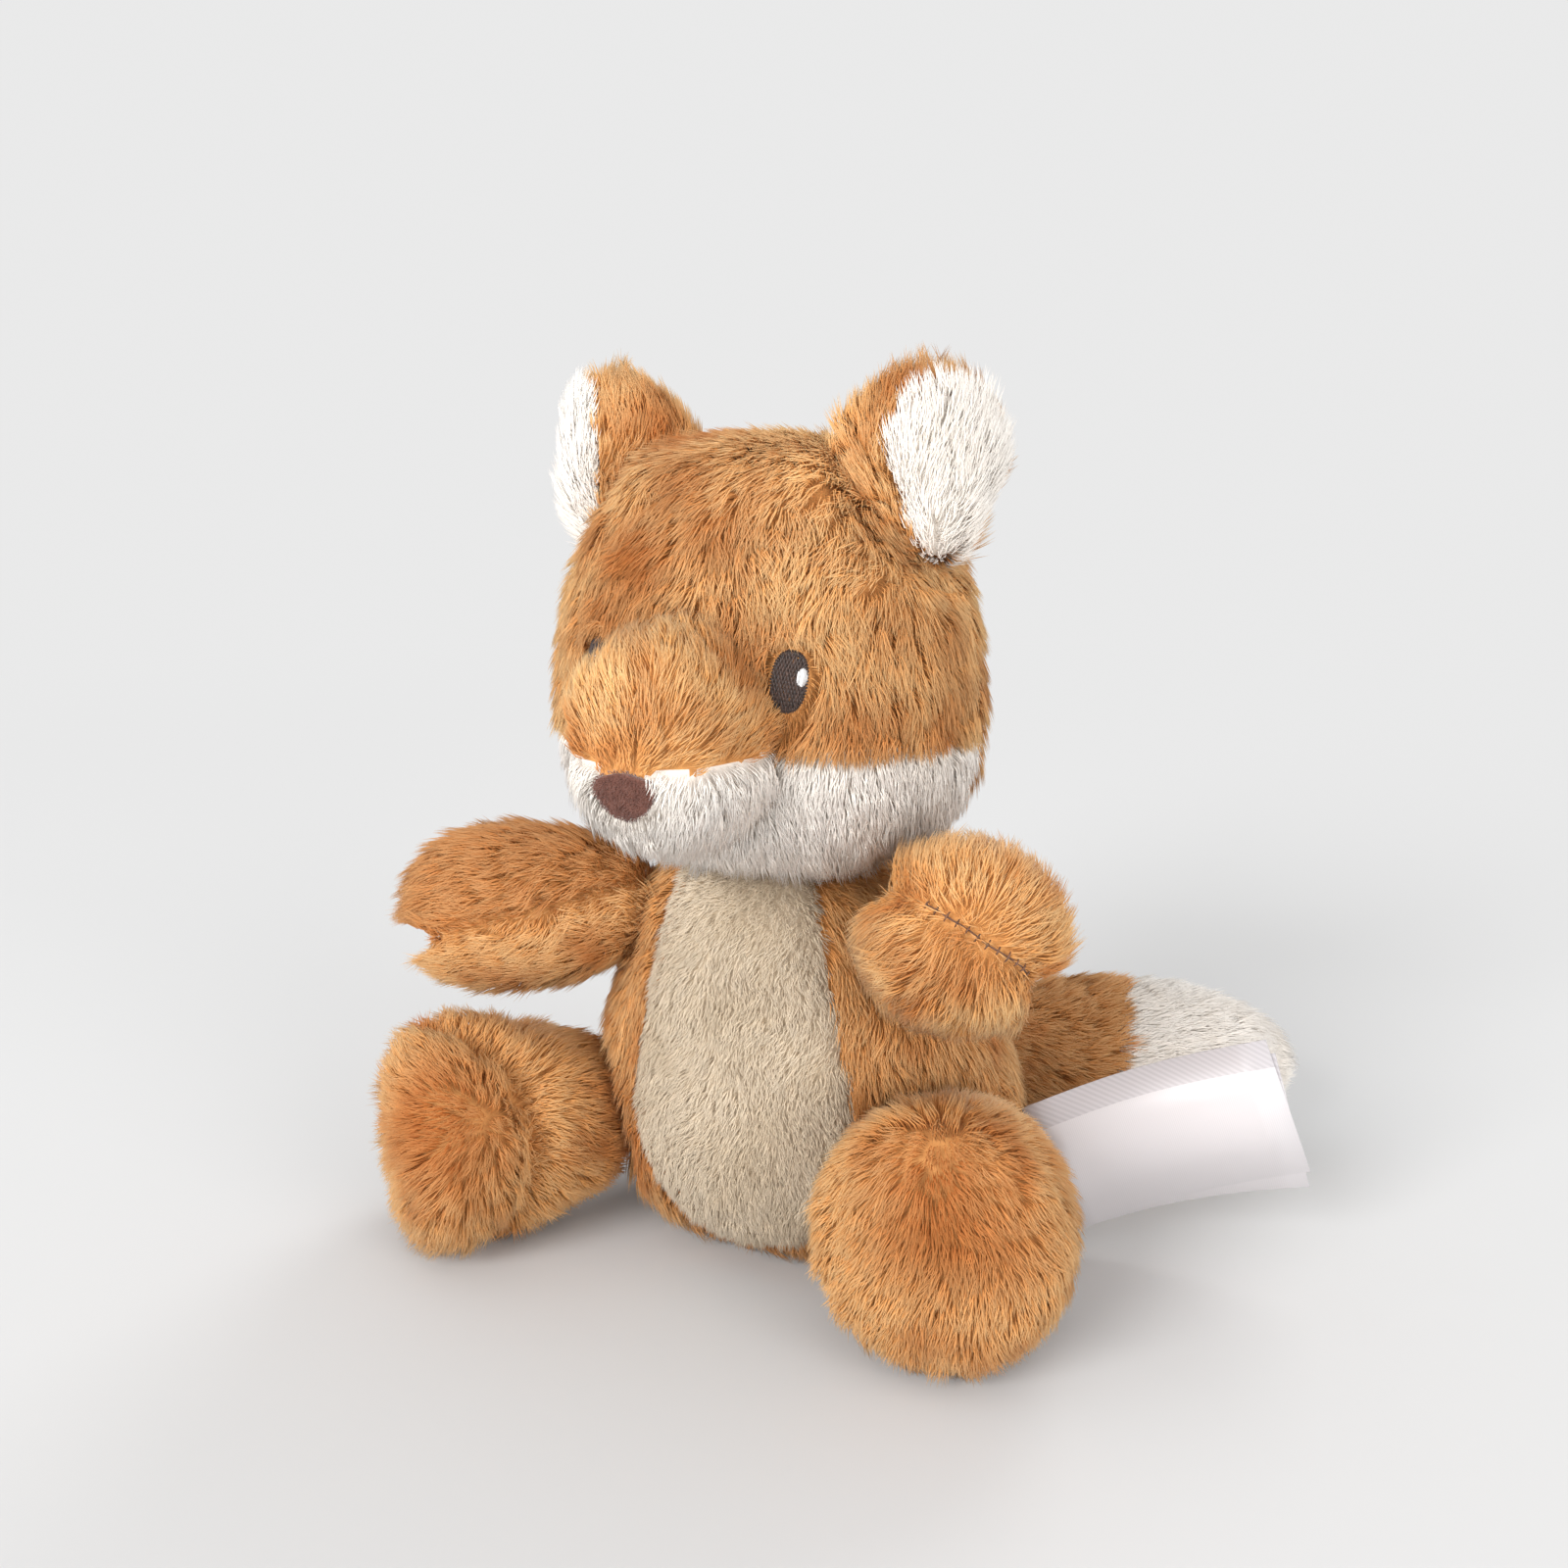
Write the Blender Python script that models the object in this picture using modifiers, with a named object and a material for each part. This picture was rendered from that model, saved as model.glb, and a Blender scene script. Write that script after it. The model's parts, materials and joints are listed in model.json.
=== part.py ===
"""Sitting plush fox: sewn pile panels round fibre filling, with a head, arms, legs, ears and a tail
that swing on their sewn roots. Metres, +Z up. The fox faces -Y, and its own left is +X."""

import math
from dataclasses import dataclass

import bmesh
import bpy
from mathutils import Matrix, Vector
from mathutils.bvhtree import BVHTree

# Fabric and clearances
PILE_DEPTH = 0.005
GAP = 0.0003
FILLING_GAP = 0.0007
SEAT_FLAT = 0.0005
WELD_DISTANCE = 0.00003
CUTTER_SPAN = 0.4
FULL_RING = 8
LIMB_RING = 6
SKIN_LEVELS = 2
FILLING_LEVELS = 1

# Body
BODY_WIDTH = 0.091
BODY_DEPTH = 0.074
BODY_HEIGHT = 0.090
NECK_HEIGHT = 0.0840
NECK_RADIUS = 0.011
NECK_REACH = 0.012
NECK_SIDE = -0.004
BELLY_WIDTH = 0.047
BELLY_LIFT = 0.006

# Head, carried on the neck and turned a little to the fox's right
HEAD_WIDTH = 0.084
HEAD_DEPTH = 0.070
HEAD_HEIGHT = 0.081
HEAD_SUNK = 0.0035
HEAD_FORWARD = 0.011
HEAD_TURN = math.radians(-1)
CHEEK_SEAM_HEIGHT = 0.0230
SIDE_SEAM_BACK = 0.006

# Muzzle and nose, sizes along the muzzle from its root inside the head
MUZZLE_WIDTH = 0.0365
MUZZLE_HEIGHT = 0.035
MUZZLE_LENGTH = 0.034
MUZZLE_STAND_OUT = 0.0200
MUZZLE_CENTRE_HEIGHT = 0.0240
NOSE_WIDTH = 0.0125
NOSE_HEIGHT = 0.0078
NOSE_THICKNESS = 0.0016
NOSE_RAISE = 0.0004

# Embroidered eyes
EYE_WIDTH = 0.0068
EYE_HEIGHT = 0.0118
EYE_CENTRE_HEIGHT = 0.0352
EYE_SPREAD = math.radians(33)
EYE_THICKNESS = 0.0012
EYE_SUNK = 0.0016
GLINT_WIDTH = 0.0018
GLINT_HEIGHT = 0.0036
GLINT_THICKNESS = 0.0005
GLINT_UP = 0.0018
GLINT_OUT = 0.0013

# Ears, from the middle of the rounded root
EAR_WIDTH = 0.034
EAR_THICKNESS = 0.024
EAR_LENGTH = 0.040
EAR_ROOT = 0.0130
EAR_SUNK = 0.0145
EAR_EASE = 0.0055
EAR_SEAM_OUT = 0.006
EAR_CENTRE_HEIGHT = 0.040
EAR_RISE = math.radians(37)
EAR_SPREAD = math.radians(88)
EAR_FACING = math.radians(57)
EAR_LEAN = math.radians(1)

# Arms, from the middle of the ball at the shoulder
ARM_WIDTH = 0.036
ARM_THICKNESS = 0.034
ARM_LENGTH = 0.0565
ARM_BALL = 0.0160
ARM_SUNK = 0.0090
ARM_EASE = 0.0040
SHOULDER_HEIGHT = 0.0690
SHOULDER_SPREAD = math.radians(62)
ARM_OUT_LEFT = math.radians(28)
ARM_OUT_RIGHT = math.radians(57)
ARM_UP_LEFT = math.radians(24)
ARM_UP_RIGHT = math.radians(0)
ARM_SEAM_ROLL_LEFT = math.radians(32)
ARM_SEAM_ROLL_RIGHT = math.radians(6)

# Legs, from the middle of the ball at the hip
LEG_WIDTH = 0.047
LEG_LENGTH = 0.0525
LEG_BALL = 0.0200
LEG_SUNK_LEFT = 0.0165
LEG_SUNK_RIGHT = 0.0090
LEG_EASE = 0.0080
HIP_SPREAD = math.radians(62)
LEG_OUT_LEFT = math.radians(7)
LEG_OUT_RIGHT = math.radians(44)
LEG_UP_LEFT = math.radians(6)
SOLE_DEPTH = 0.0140

# Tail, from the middle of the ball at its root
TAIL_WIDTH = 0.038
TAIL_LENGTH = 0.090
TAIL_BALL = 0.0140
TAIL_SUNK = 0.0055
TAIL_EASE = 0.0040
TAIL_CLEAR = 0.0006
TAIL_BEND = math.radians(46)
TAIL_BEND_LENGTH = 0.034
TAIL_SIDE = math.radians(28)
TAIL_TIP_LENGTH = 0.038

# Ribbon label folded into the left side seam
LABEL_LENGTH = 0.049
LABEL_HEIGHT = 0.0285
LABEL_THICKNESS = 0.0004
LABEL_SEAT_HEIGHT = 0.0148
LABEL_SPREAD = math.radians(94)
LABEL_TURN = math.radians(-12)
LABEL_RISE = math.radians(21)
LABEL_CLEAR = 0.0014
LABEL_BOW = 0.004
LABEL_FAN = math.radians(4)

# Ring tables: where each ring lies along its form, and its width and depth, as shares of the form's sizes
BODY_ALONG_SHARES = (0.0, 0.10, 0.30, 0.54, 0.80, 1.0)
BODY_WIDTH_SHARES = (0.62, 0.93, 1.02, 0.90, 0.68, 0.54)
BODY_DEPTH_SHARES = (0.60, 0.92, 1.02, 0.90, 0.70, 0.54)
BODY_LEAN_SHARES = (0.02, 0.0, -0.02, -0.04, -0.07, -0.10)
BODY_SWAY_SHARES = (0.0, 0.0, 0.0, -0.01, -0.03, -0.045)
HEAD_ALONG_SHARES = (0.0, 0.14, 0.36, 0.62, 0.86, 1.0)
HEAD_WIDTH_SHARES = (0.62, 0.96, 1.02, 0.95, 0.80, 0.52)
HEAD_DEPTH_SHARES = (0.58, 0.90, 1.02, 0.97, 0.82, 0.52)
HEAD_SQUARE_SHARE = 1.06
MUZZLE_ALONG_SHARES = (0.0, 0.45, 0.86, 1.0)
MUZZLE_SIDE_SHARES = (0.96, 1.02, 0.84, 0.50)
EAR_ALONG_SHARES = (0.0, 0.14, 0.38, 0.78, 1.0)
EAR_WIDTH_SHARES = (0.44, 0.84, 1.02, 0.86, 0.44)
EAR_DEPTH_SHARES = (0.38, 0.84, 1.00, 0.68, 0.28)
EAR_LEAN_SHARES = (0.0, 0.0, 0.0, -0.10, -0.22)
ARM_ALONG_SHARES = (0.0, 0.15, 0.50, 0.84, 1.0)
ARM_SIDE_SHARES = (0.36, 0.72, 1.00, 0.94, 0.46)
LEG_ALONG_SHARES = (0.0, 0.16, 0.52, 0.86, 1.0)
LEG_SIDE_SHARES = (0.29, 0.64, 0.86, 1.02, 0.62)
TAIL_ALONG_SHARES = (0.0, 0.12, 0.36, 0.64, 0.88, 1.0)
TAIL_SIDE_SHARES = (0.34, 0.68, 0.98, 1.02, 0.78, 0.36)
# The belly panel's outline on one side, bottom to top: shares of its half width and of the neck's height
BELLY_SIDE_SHARES = (0.34, 0.78, 1.0, 0.92, 0.74, 0.66)
BELLY_UP_SHARES = (0.02, 0.14, 0.36, 0.58, 0.82, 1.10)
# The nose's outline on one side, bottom to top: shares of its half width and half height
NOSE_SIDE_SHARES = (0.34, 0.84, 1.0, 0.62)
NOSE_UP_SHARES = (-0.92, -0.20, 0.56, 1.0)
NECK_SIDES = 20
CAP_SIDES = 16

# Colours, linear
ORANGE = (0.56, 0.27, 0.09, 1)
WHITE = (0.83, 0.79, 0.74, 1)
CREAM = (0.70, 0.62, 0.50, 1)
NOSE_BROWN = (0.16, 0.07, 0.05, 1)
EYE_BROWN = (0.04, 0.02, 0.015, 1)
THREAD_WHITE = (0.85, 0.83, 0.80, 1)
FIBRE = (0.88, 0.88, 0.86, 1)
SATIN = (0.76, 0.73, 0.74, 1)


@dataclass(frozen=True)
class Form:
    """A stuffed shape: rings along +Z, each a share of the form's real width and depth."""

    width: float
    depth: float
    length: float
    along_shares: tuple
    width_shares: tuple
    depth_shares: tuple
    lean_shares: tuple = ()
    sway_shares: tuple = ()
    sides: int = LIMB_RING
    square_share: float = 1.0
    root: float = 0.0
    bend: float = 0.0
    bend_length: float = 0.0


BODY = Form(BODY_WIDTH, BODY_DEPTH, BODY_HEIGHT,
            BODY_ALONG_SHARES, BODY_WIDTH_SHARES, BODY_DEPTH_SHARES,
            lean_shares=BODY_LEAN_SHARES, sway_shares=BODY_SWAY_SHARES,
            sides=FULL_RING, root=SEAT_FLAT)
HEAD = Form(HEAD_WIDTH, HEAD_DEPTH, HEAD_HEIGHT,
            HEAD_ALONG_SHARES, HEAD_WIDTH_SHARES, HEAD_DEPTH_SHARES,
            sides=FULL_RING, square_share=HEAD_SQUARE_SHARE, root=HEAD_SUNK)
MUZZLE = Form(MUZZLE_WIDTH, MUZZLE_HEIGHT, MUZZLE_LENGTH,
              MUZZLE_ALONG_SHARES, MUZZLE_SIDE_SHARES, MUZZLE_SIDE_SHARES)
EAR = Form(EAR_WIDTH, EAR_THICKNESS, EAR_LENGTH,
           EAR_ALONG_SHARES, EAR_WIDTH_SHARES, EAR_DEPTH_SHARES,
           lean_shares=EAR_LEAN_SHARES, root=EAR_ROOT)
ARM = Form(ARM_WIDTH, ARM_THICKNESS, ARM_LENGTH,
           ARM_ALONG_SHARES, ARM_SIDE_SHARES, ARM_SIDE_SHARES, root=ARM_BALL)
LEG = Form(LEG_WIDTH, LEG_WIDTH, LEG_LENGTH,
           LEG_ALONG_SHARES, LEG_SIDE_SHARES, LEG_SIDE_SHARES, root=LEG_BALL)
TAIL = Form(TAIL_WIDTH, TAIL_WIDTH, TAIL_LENGTH,
            TAIL_ALONG_SHARES, TAIL_SIDE_SHARES, TAIL_SIDE_SHARES,
            root=TAIL_BALL, bend=TAIL_BEND, bend_length=TAIL_BEND_LENGTH)


def clear_scene():
    """Remove every object, so that the script can be run again."""
    for thing in list(bpy.data.objects):
        bpy.data.objects.remove(thing, do_unlink=True)


def new_collection(name):
    """A collection of the scene under this name."""
    group = bpy.data.collections.new(name)
    bpy.context.scene.collection.children.link(group)
    return group


def material(name, colour, roughness):
    """One matt or satin finish."""
    finish = bpy.data.materials.new(name)
    finish.use_nodes = True
    shader = finish.node_tree.nodes["Principled BSDF"]
    shader.inputs["Base Color"].default_value = colour
    shader.inputs["Roughness"].default_value = roughness
    shader.inputs["Metallic"].default_value = 0
    finish.diffuse_color = colour
    return finish


def evaluated_mesh(thing):
    """A copy of the object's mesh after its modifiers."""
    bpy.context.view_layer.update()
    graph = bpy.context.evaluated_depsgraph_get()
    return bpy.data.meshes.new_from_object(thing.evaluated_get(graph))


def add_subdivision(thing, levels):
    """Smooth the coarse cage, alike in the viewport and the render."""
    smooth = thing.modifiers.new("smooth", "SUBSURF")
    smooth.levels = levels
    smooth.render_levels = levels


def cage_mesh(name, rings):
    """Closed cage from rings of equal count, with a flat cap at each end."""
    shape = bmesh.new()
    corners = [[shape.verts.new(point) for point in ring] for ring in rings]
    count = len(rings[0])
    for lower, upper in zip(corners, corners[1:]):
        for k in range(count):
            after = (k + 1) % count
            shape.faces.new((lower[k], lower[after], upper[after], upper[k]))
    shape.faces.new(list(reversed(corners[0])))
    shape.faces.new(corners[-1])
    mesh = bpy.data.meshes.new(name)
    shape.to_mesh(mesh)
    shape.free()
    return mesh


def unit_rings(form):
    """The form's rings at unit width, depth and length, before leaning and bending."""
    rings = []
    for along, wide, deep in zip(form.along_shares, form.width_shares, form.depth_shares):
        ring = []
        for k in range(form.sides):
            turn = 2 * math.pi * k / form.sides
            square = form.square_share if k % 2 else 1
            ring.append(Vector((wide * square * math.cos(turn) / 2,
                                deep * square * math.sin(turn) / 2, along)))
        rings.append(ring)
    return rings


def bent(point, form):
    """The point carried round the form's bend, towards +X."""
    if not form.bend or point.z <= 0:
        return point
    radius = form.bend_length / form.bend
    turn = form.bend * min(point.z / form.bend_length, 1)
    beyond = max(point.z - form.bend_length, 0)
    centre = Vector((radius * (1 - math.cos(turn)), 0, radius * math.sin(turn)))
    across = Vector((math.cos(turn), 0, -math.sin(turn)))
    onward = Vector((math.sin(turn), 0, math.cos(turn)))
    return centre + across * point.x + Vector((0, point.y, 0)) + onward * beyond


def add_form(name, form, frame, levels, group, grow=0.0, parent=None):
    """A smooth closed form at its real size, made larger or smaller all round by grow."""
    rings = unit_rings(form)
    trial = bpy.data.objects.new(name, cage_mesh(name, rings))
    group.objects.link(trial)
    add_subdivision(trial, levels)
    smooth = evaluated_mesh(trial)
    low = [min(v.co[axis] for v in smooth.vertices) for axis in range(3)]
    high = [max(v.co[axis] for v in smooth.vertices) for axis in range(3)]
    bpy.data.meshes.remove(smooth)
    target = (form.width + 2 * grow, form.depth + 2 * grow, form.length + 2 * grow)
    scale = [target[axis] / (high[axis] - low[axis]) for axis in range(3)]
    leans = form.lean_shares or (0,) * len(rings)
    sways = form.sway_shares or (0,) * len(rings)
    corners = []
    for ring, lean, sway in zip(rings, leans, sways):
        for point in ring:
            sized = Vector((point.x * scale[0] + sway * form.width,
                            point.y * scale[1] + lean * form.depth,
                            (point.z - low[2]) * scale[2] - grow - form.root))
            corners.append(bent(sized, form))
    for vertex, corner in zip(trial.data.vertices, corners):
        vertex.co = corner
    trial.data.shade_smooth()
    trial.parent = parent
    trial.matrix_local = frame
    return trial


def hide_guide(thing):
    """Mark a cutter or guide, which is no part of the fox."""
    thing.hide_render = True
    thing.display_type = "WIRE"
    return thing


def link_cutter(thing, frame, parent=None):
    """Move a new primitive into the cutters' collection and place it."""
    for group in list(thing.users_collection):
        group.objects.unlink(thing)
    cutters.objects.link(thing)
    thing.parent = parent
    thing.matrix_local = frame
    return hide_guide(thing)


def facing(point, direction, up=Vector((0, 0, 1))):
    """A frame at point whose +Z runs along direction and whose +Y is near up."""
    ahead = direction.normalized()
    side = up.cross(ahead).normalized()
    top = ahead.cross(side)
    return Matrix.Translation(point) @ Matrix((side, top, ahead)).transposed().to_4x4()


def add_side(name, point, direction, parent=None):
    """A large block that fills the space ahead of a plane."""
    bpy.ops.mesh.primitive_cube_add(size=CUTTER_SPAN)
    block = bpy.context.object
    block.name = name
    ahead = direction.normalized()
    up = Vector((0, 1, 0)) if abs(ahead.z) > abs(ahead.y) else Vector((0, 0, 1))
    return link_cutter(block, facing(point + ahead * CUTTER_SPAN / 2, ahead, up), parent)


def add_ball(name, centre, radius, parent=None):
    """A round seat cutter, with its poles above and below and its flats at this radius."""
    flats = math.cos(math.pi / CAP_SIDES) ** 2
    bpy.ops.mesh.primitive_uv_sphere_add(segments=CAP_SIDES, ring_count=CAP_SIDES // 2,
                                         radius=radius / flats)
    ball = bpy.context.object
    ball.name = name
    return link_cutter(ball, Matrix.Translation(centre), parent)


def add_rod(name, centre, direction, radius, length, parent=None):
    """A round rod cutter about a line through its centre."""
    bpy.ops.mesh.primitive_cylinder_add(vertices=NECK_SIDES, radius=radius, depth=length)
    rod = bpy.context.object
    rod.name = name
    up = Vector((0, 1, 0)) if abs(direction.z) > abs(direction.y) else Vector((0, 0, 1))
    return link_cutter(rod, facing(centre, direction, up), parent)


def add_outline(name, points, thickness, frame, parent=None):
    """A smooth flat outline in the frame's XY plane, thickened along its Z, as a cutter."""
    curve = bpy.data.curves.new(name, "CURVE")
    curve.dimensions = "2D"
    curve.fill_mode = "BOTH"
    curve.resolution_u = 4
    curve.extrude = thickness / 2
    spline = curve.splines.new("BEZIER")
    spline.bezier_points.add(len(points) - 1)
    for knot, (across, up) in zip(spline.bezier_points, points):
        knot.co = (across, up, 0)
        knot.handle_left_type = "AUTO"
        knot.handle_right_type = "AUTO"
    spline.use_cyclic_u = True
    drawn = bpy.data.objects.new(name, curve)
    cutters.objects.link(drawn)
    mesh = evaluated_mesh(drawn)
    bpy.data.objects.remove(drawn, do_unlink=True)
    shape = bmesh.new()
    shape.from_mesh(mesh)
    bmesh.ops.remove_doubles(shape, verts=shape.verts, dist=GAP / CAP_SIDES)
    bmesh.ops.recalc_face_normals(shape, faces=shape.faces)
    shape.to_mesh(mesh)
    shape.free()
    return link_cutter(bpy.data.objects.new(name, mesh), frame, parent)


def trim(thing, cutter, operation="DIFFERENCE"):
    """Cut the object with a cutter, or keep or join what the operation says."""
    change = thing.modifiers.new(cutter.name, "BOOLEAN")
    change.operation = operation
    change.solver = "EXACT"
    change.object = cutter
    return thing


def keep(thing, *cutters_kept):
    """Keep only what lies inside every one of these cutters."""
    for cutter in cutters_kept:
        trim(thing, cutter, "INTERSECT")
    return thing


def cut(thing, *cutters_taken):
    """Take every one of these cutters away."""
    for cutter in cutters_taken:
        trim(thing, cutter)
    return thing


def seam(name, point, direction, parent=None):
    """The two sides of a flat seam, half a gap clear of it: behind it and ahead of it."""
    ahead = direction.normalized()
    clear = ahead * GAP / 2
    return (add_side(name + "_behind", point - clear, -ahead, parent),
            add_side(name + "_ahead", point + clear, ahead, parent))


def on_surface(form_object, start, direction):
    """Where a ray from inside leaves the form, in the form's own frame, with the normal there."""
    bpy.context.view_layer.update()
    graph = bpy.context.evaluated_depsgraph_get()
    tree = BVHTree.FromObject(form_object, graph)
    point, normal, _, _ = tree.ray_cast(start, direction.normalized())
    return point, normal


def level_direction(out, up=0.0):
    """A direction at this angle to the side of straight ahead, and this angle up."""
    return Vector((math.sin(out) * math.cos(up), -math.cos(out) * math.cos(up), math.sin(up)))


def paint(thing, finish):
    """Give the finished piece its one material."""
    thing.data.materials.clear()
    thing.data.materials.append(finish)
    return thing


def root_empty(name, frame):
    """An empty on a joint's axis, which carries the pieces that move with it."""
    empty = bpy.data.objects.new(name, None)
    fox.objects.link(empty)
    empty.matrix_world = frame
    bpy.context.view_layer.update()
    return empty


def skin(name, form, frame, hollow, finish, parent=None):
    """A pile panel before its seams are cut: the whole form less its filling."""
    panel = add_form(name, form, frame, SKIN_LEVELS, fox, parent=parent)
    cut(panel, hollow)
    return paint(panel, finish)


def hollow_of(name, form, frame, pile, parent=None):
    """The space inside a form's pile, as a cutter."""
    return hide_guide(add_form(name, form, frame, FILLING_LEVELS, cutters, -pile, parent))


def filling_of(name, form, frame, pile, parent=None):
    """The stuffing that fills a form's skin."""
    filling = add_form(name, form, frame, FILLING_LEVELS, fox, -pile - FILLING_GAP, parent)
    return paint(filling, FINISHES["fibre"])


def both_sides():
    """The fox's left and right, with the sign of X on each."""
    return (("left", 1), ("right", -1))


def ball_seat(guide, height, heading, ball, sunk, ease):
    """A limb's ball sunk into the body's side at this height: its centre, and its seat's cutter."""
    point, normal = on_surface(guide, Vector((0, 0, height)), heading)
    level = Vector((normal.x, normal.y, 0)).normalized()
    centre = point + level * (ball - sunk)
    centre.z = height
    return centre, add_ball("ball_seat", centre + level * ease, ball + GAP + ease)


def two_sided(side, middle_of=lambda up: 0.0):
    """An outline from its points on one side, mirrored about a middle line."""
    return ([(middle_of(up) + across, up) for across, up in side]
            + [(middle_of(up) - across, up) for across, up in reversed(side)])


def belly_outline(name, offset):
    """The belly panel's outline, thickened forwards from inside the body."""
    rise = NECK_HEIGHT - BELLY_LIFT
    side = [(share * BELLY_WIDTH / 2 + offset, BELLY_LIFT - offset + up * rise)
            for share, up in zip(BELLY_SIDE_SHARES, BELLY_UP_SHARES)]
    points = two_sided(side, lambda up: NECK_SIDE * (up / NECK_HEIGHT) ** 2)
    middle = Vector((0, -HEAD_FORWARD - PILE_DEPTH - BODY_DEPTH / 2, 0))
    return add_outline(name, points, BODY_DEPTH, facing(middle, Vector((0, -1, 0))))


def build_body(guide, seats):
    """Two side panels that meet at the back, the belly panel and the filling with its neck."""
    floor = add_side("seat_plane", Vector((0, 0, 0)), Vector((0, 0, -1)))
    top = add_side("neck_plane", Vector((0, 0, NECK_HEIGHT)), Vector((0, 0, 1)))
    hollow = hollow_of("body_hollow", BODY, Matrix(), PILE_DEPTH)
    neck_middle = Vector((NECK_SIDE, -HEAD_FORWARD, NECK_HEIGHT))
    neck_hole = add_rod("neck_hole", neck_middle, Vector((0, 0, 1)),
                        NECK_RADIUS + GAP, BODY_HEIGHT)
    right_half, left_half = seam("back_seam", Vector((0, 0, 0)), Vector((1, 0, 0)))
    wide_belly = belly_outline("belly_opening", GAP / 2)
    belly = belly_outline("belly_shape", -GAP / 2)
    for side, half in (("left", left_half), ("right", right_half)):
        panel = skin("body_side_" + side, BODY, Matrix(), hollow, FINISHES["orange"])
        cut(panel, *seats, neck_hole, floor, top, wide_belly)
        keep(panel, half)
    panel = skin("belly_panel", BODY, Matrix(), hollow, FINISHES["cream"])
    cut(panel, *seats, neck_hole, floor, top)
    keep(panel, belly)
    filling = filling_of("body_stuffing", BODY, Matrix(), PILE_DEPTH)
    cut(filling, top)
    low = NECK_HEIGHT / 2
    high = NECK_HEIGHT + NECK_REACH
    neck = add_rod("neck_filling", Vector((NECK_SIDE, -HEAD_FORWARD, (low + high) / 2)),
                   Vector((0, 0, 1)), NECK_RADIUS, high - low)
    trim(filling, neck, "UNION")
    cut(filling, *seats)


def eye_frame(guide, side):
    """The frame of an eye on the head: +Z out of the face, +Y up, and +X towards the fox's left."""
    start = Vector((0, 0, EYE_CENTRE_HEIGHT))
    point, normal = on_surface(guide, start, level_direction(side * EYE_SPREAD))
    return facing(point, normal)


def ellipse(width, height, middle=(0.0, 0.0)):
    """Four corners of a smooth oval, for an outline."""
    across, up = middle
    return [(across + width / 2, up), (across, up + height / 2),
            (across - width / 2, up), (across, up - height / 2)]


def layer_on(name, form, frame, outline, raised, thickness, finish, parent):
    """A thin patch that follows a form: inside the outline, from raised down through its thickness."""
    patch = add_form(name, form, frame, SKIN_LEVELS, fox, raised, parent)
    below = hide_guide(add_form(name + "_back", form, frame, SKIN_LEVELS, cutters,
                                raised - thickness, parent))
    keep(patch, outline)
    cut(patch, below)
    return paint(patch, finish)


def pocket_in(name, form, frame, outline, depth, parent):
    """A shallow pocket cutter that follows a form: inside the outline, down to this depth."""
    below = hide_guide(add_form(name + "_floor", form, frame, SKIN_LEVELS, cutters, -depth, parent))
    return cut(outline, below)


def build_eye(guide, side, label, neck):
    """The embroidered oval and its white glint, in a pocket of the face."""
    frame = eye_frame(guide, side)
    reach = PILE_DEPTH * 4
    shape = add_outline("eye_shape_" + label, ellipse(EYE_WIDTH, EYE_HEIGHT), reach, frame, neck)
    opening = ellipse(EYE_WIDTH + 2 * GAP, EYE_HEIGHT + 2 * GAP)
    wide = add_outline("eye_pocket_" + label, opening, reach, frame, neck)
    spot = ellipse(GLINT_WIDTH, GLINT_HEIGHT, (GLINT_OUT, GLINT_UP))
    glint = add_outline("glint_shape_" + label, spot, reach, frame, neck)
    layer_on("eye_" + label, HEAD, Matrix(), shape, -EYE_SUNK, EYE_THICKNESS, FINISHES["eye"], neck)
    layer_on("eye_glint_" + label, HEAD, Matrix(), glint, GLINT_THICKNESS + GAP - EYE_SUNK,
             GLINT_THICKNESS, FINISHES["thread"], neck)
    return pocket_in("eye_pocket_" + label, HEAD, Matrix(), wide,
                     EYE_SUNK + EYE_THICKNESS + GAP, neck)


def nose_outline(grow):
    """The nose's rounded triangle, point down, made larger all round by grow."""
    return two_sided([(across * (NOSE_WIDTH / 2 + grow), up * (NOSE_HEIGHT / 2 + grow))
                      for across, up in zip(NOSE_SIDE_SHARES, NOSE_UP_SHARES)])


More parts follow.
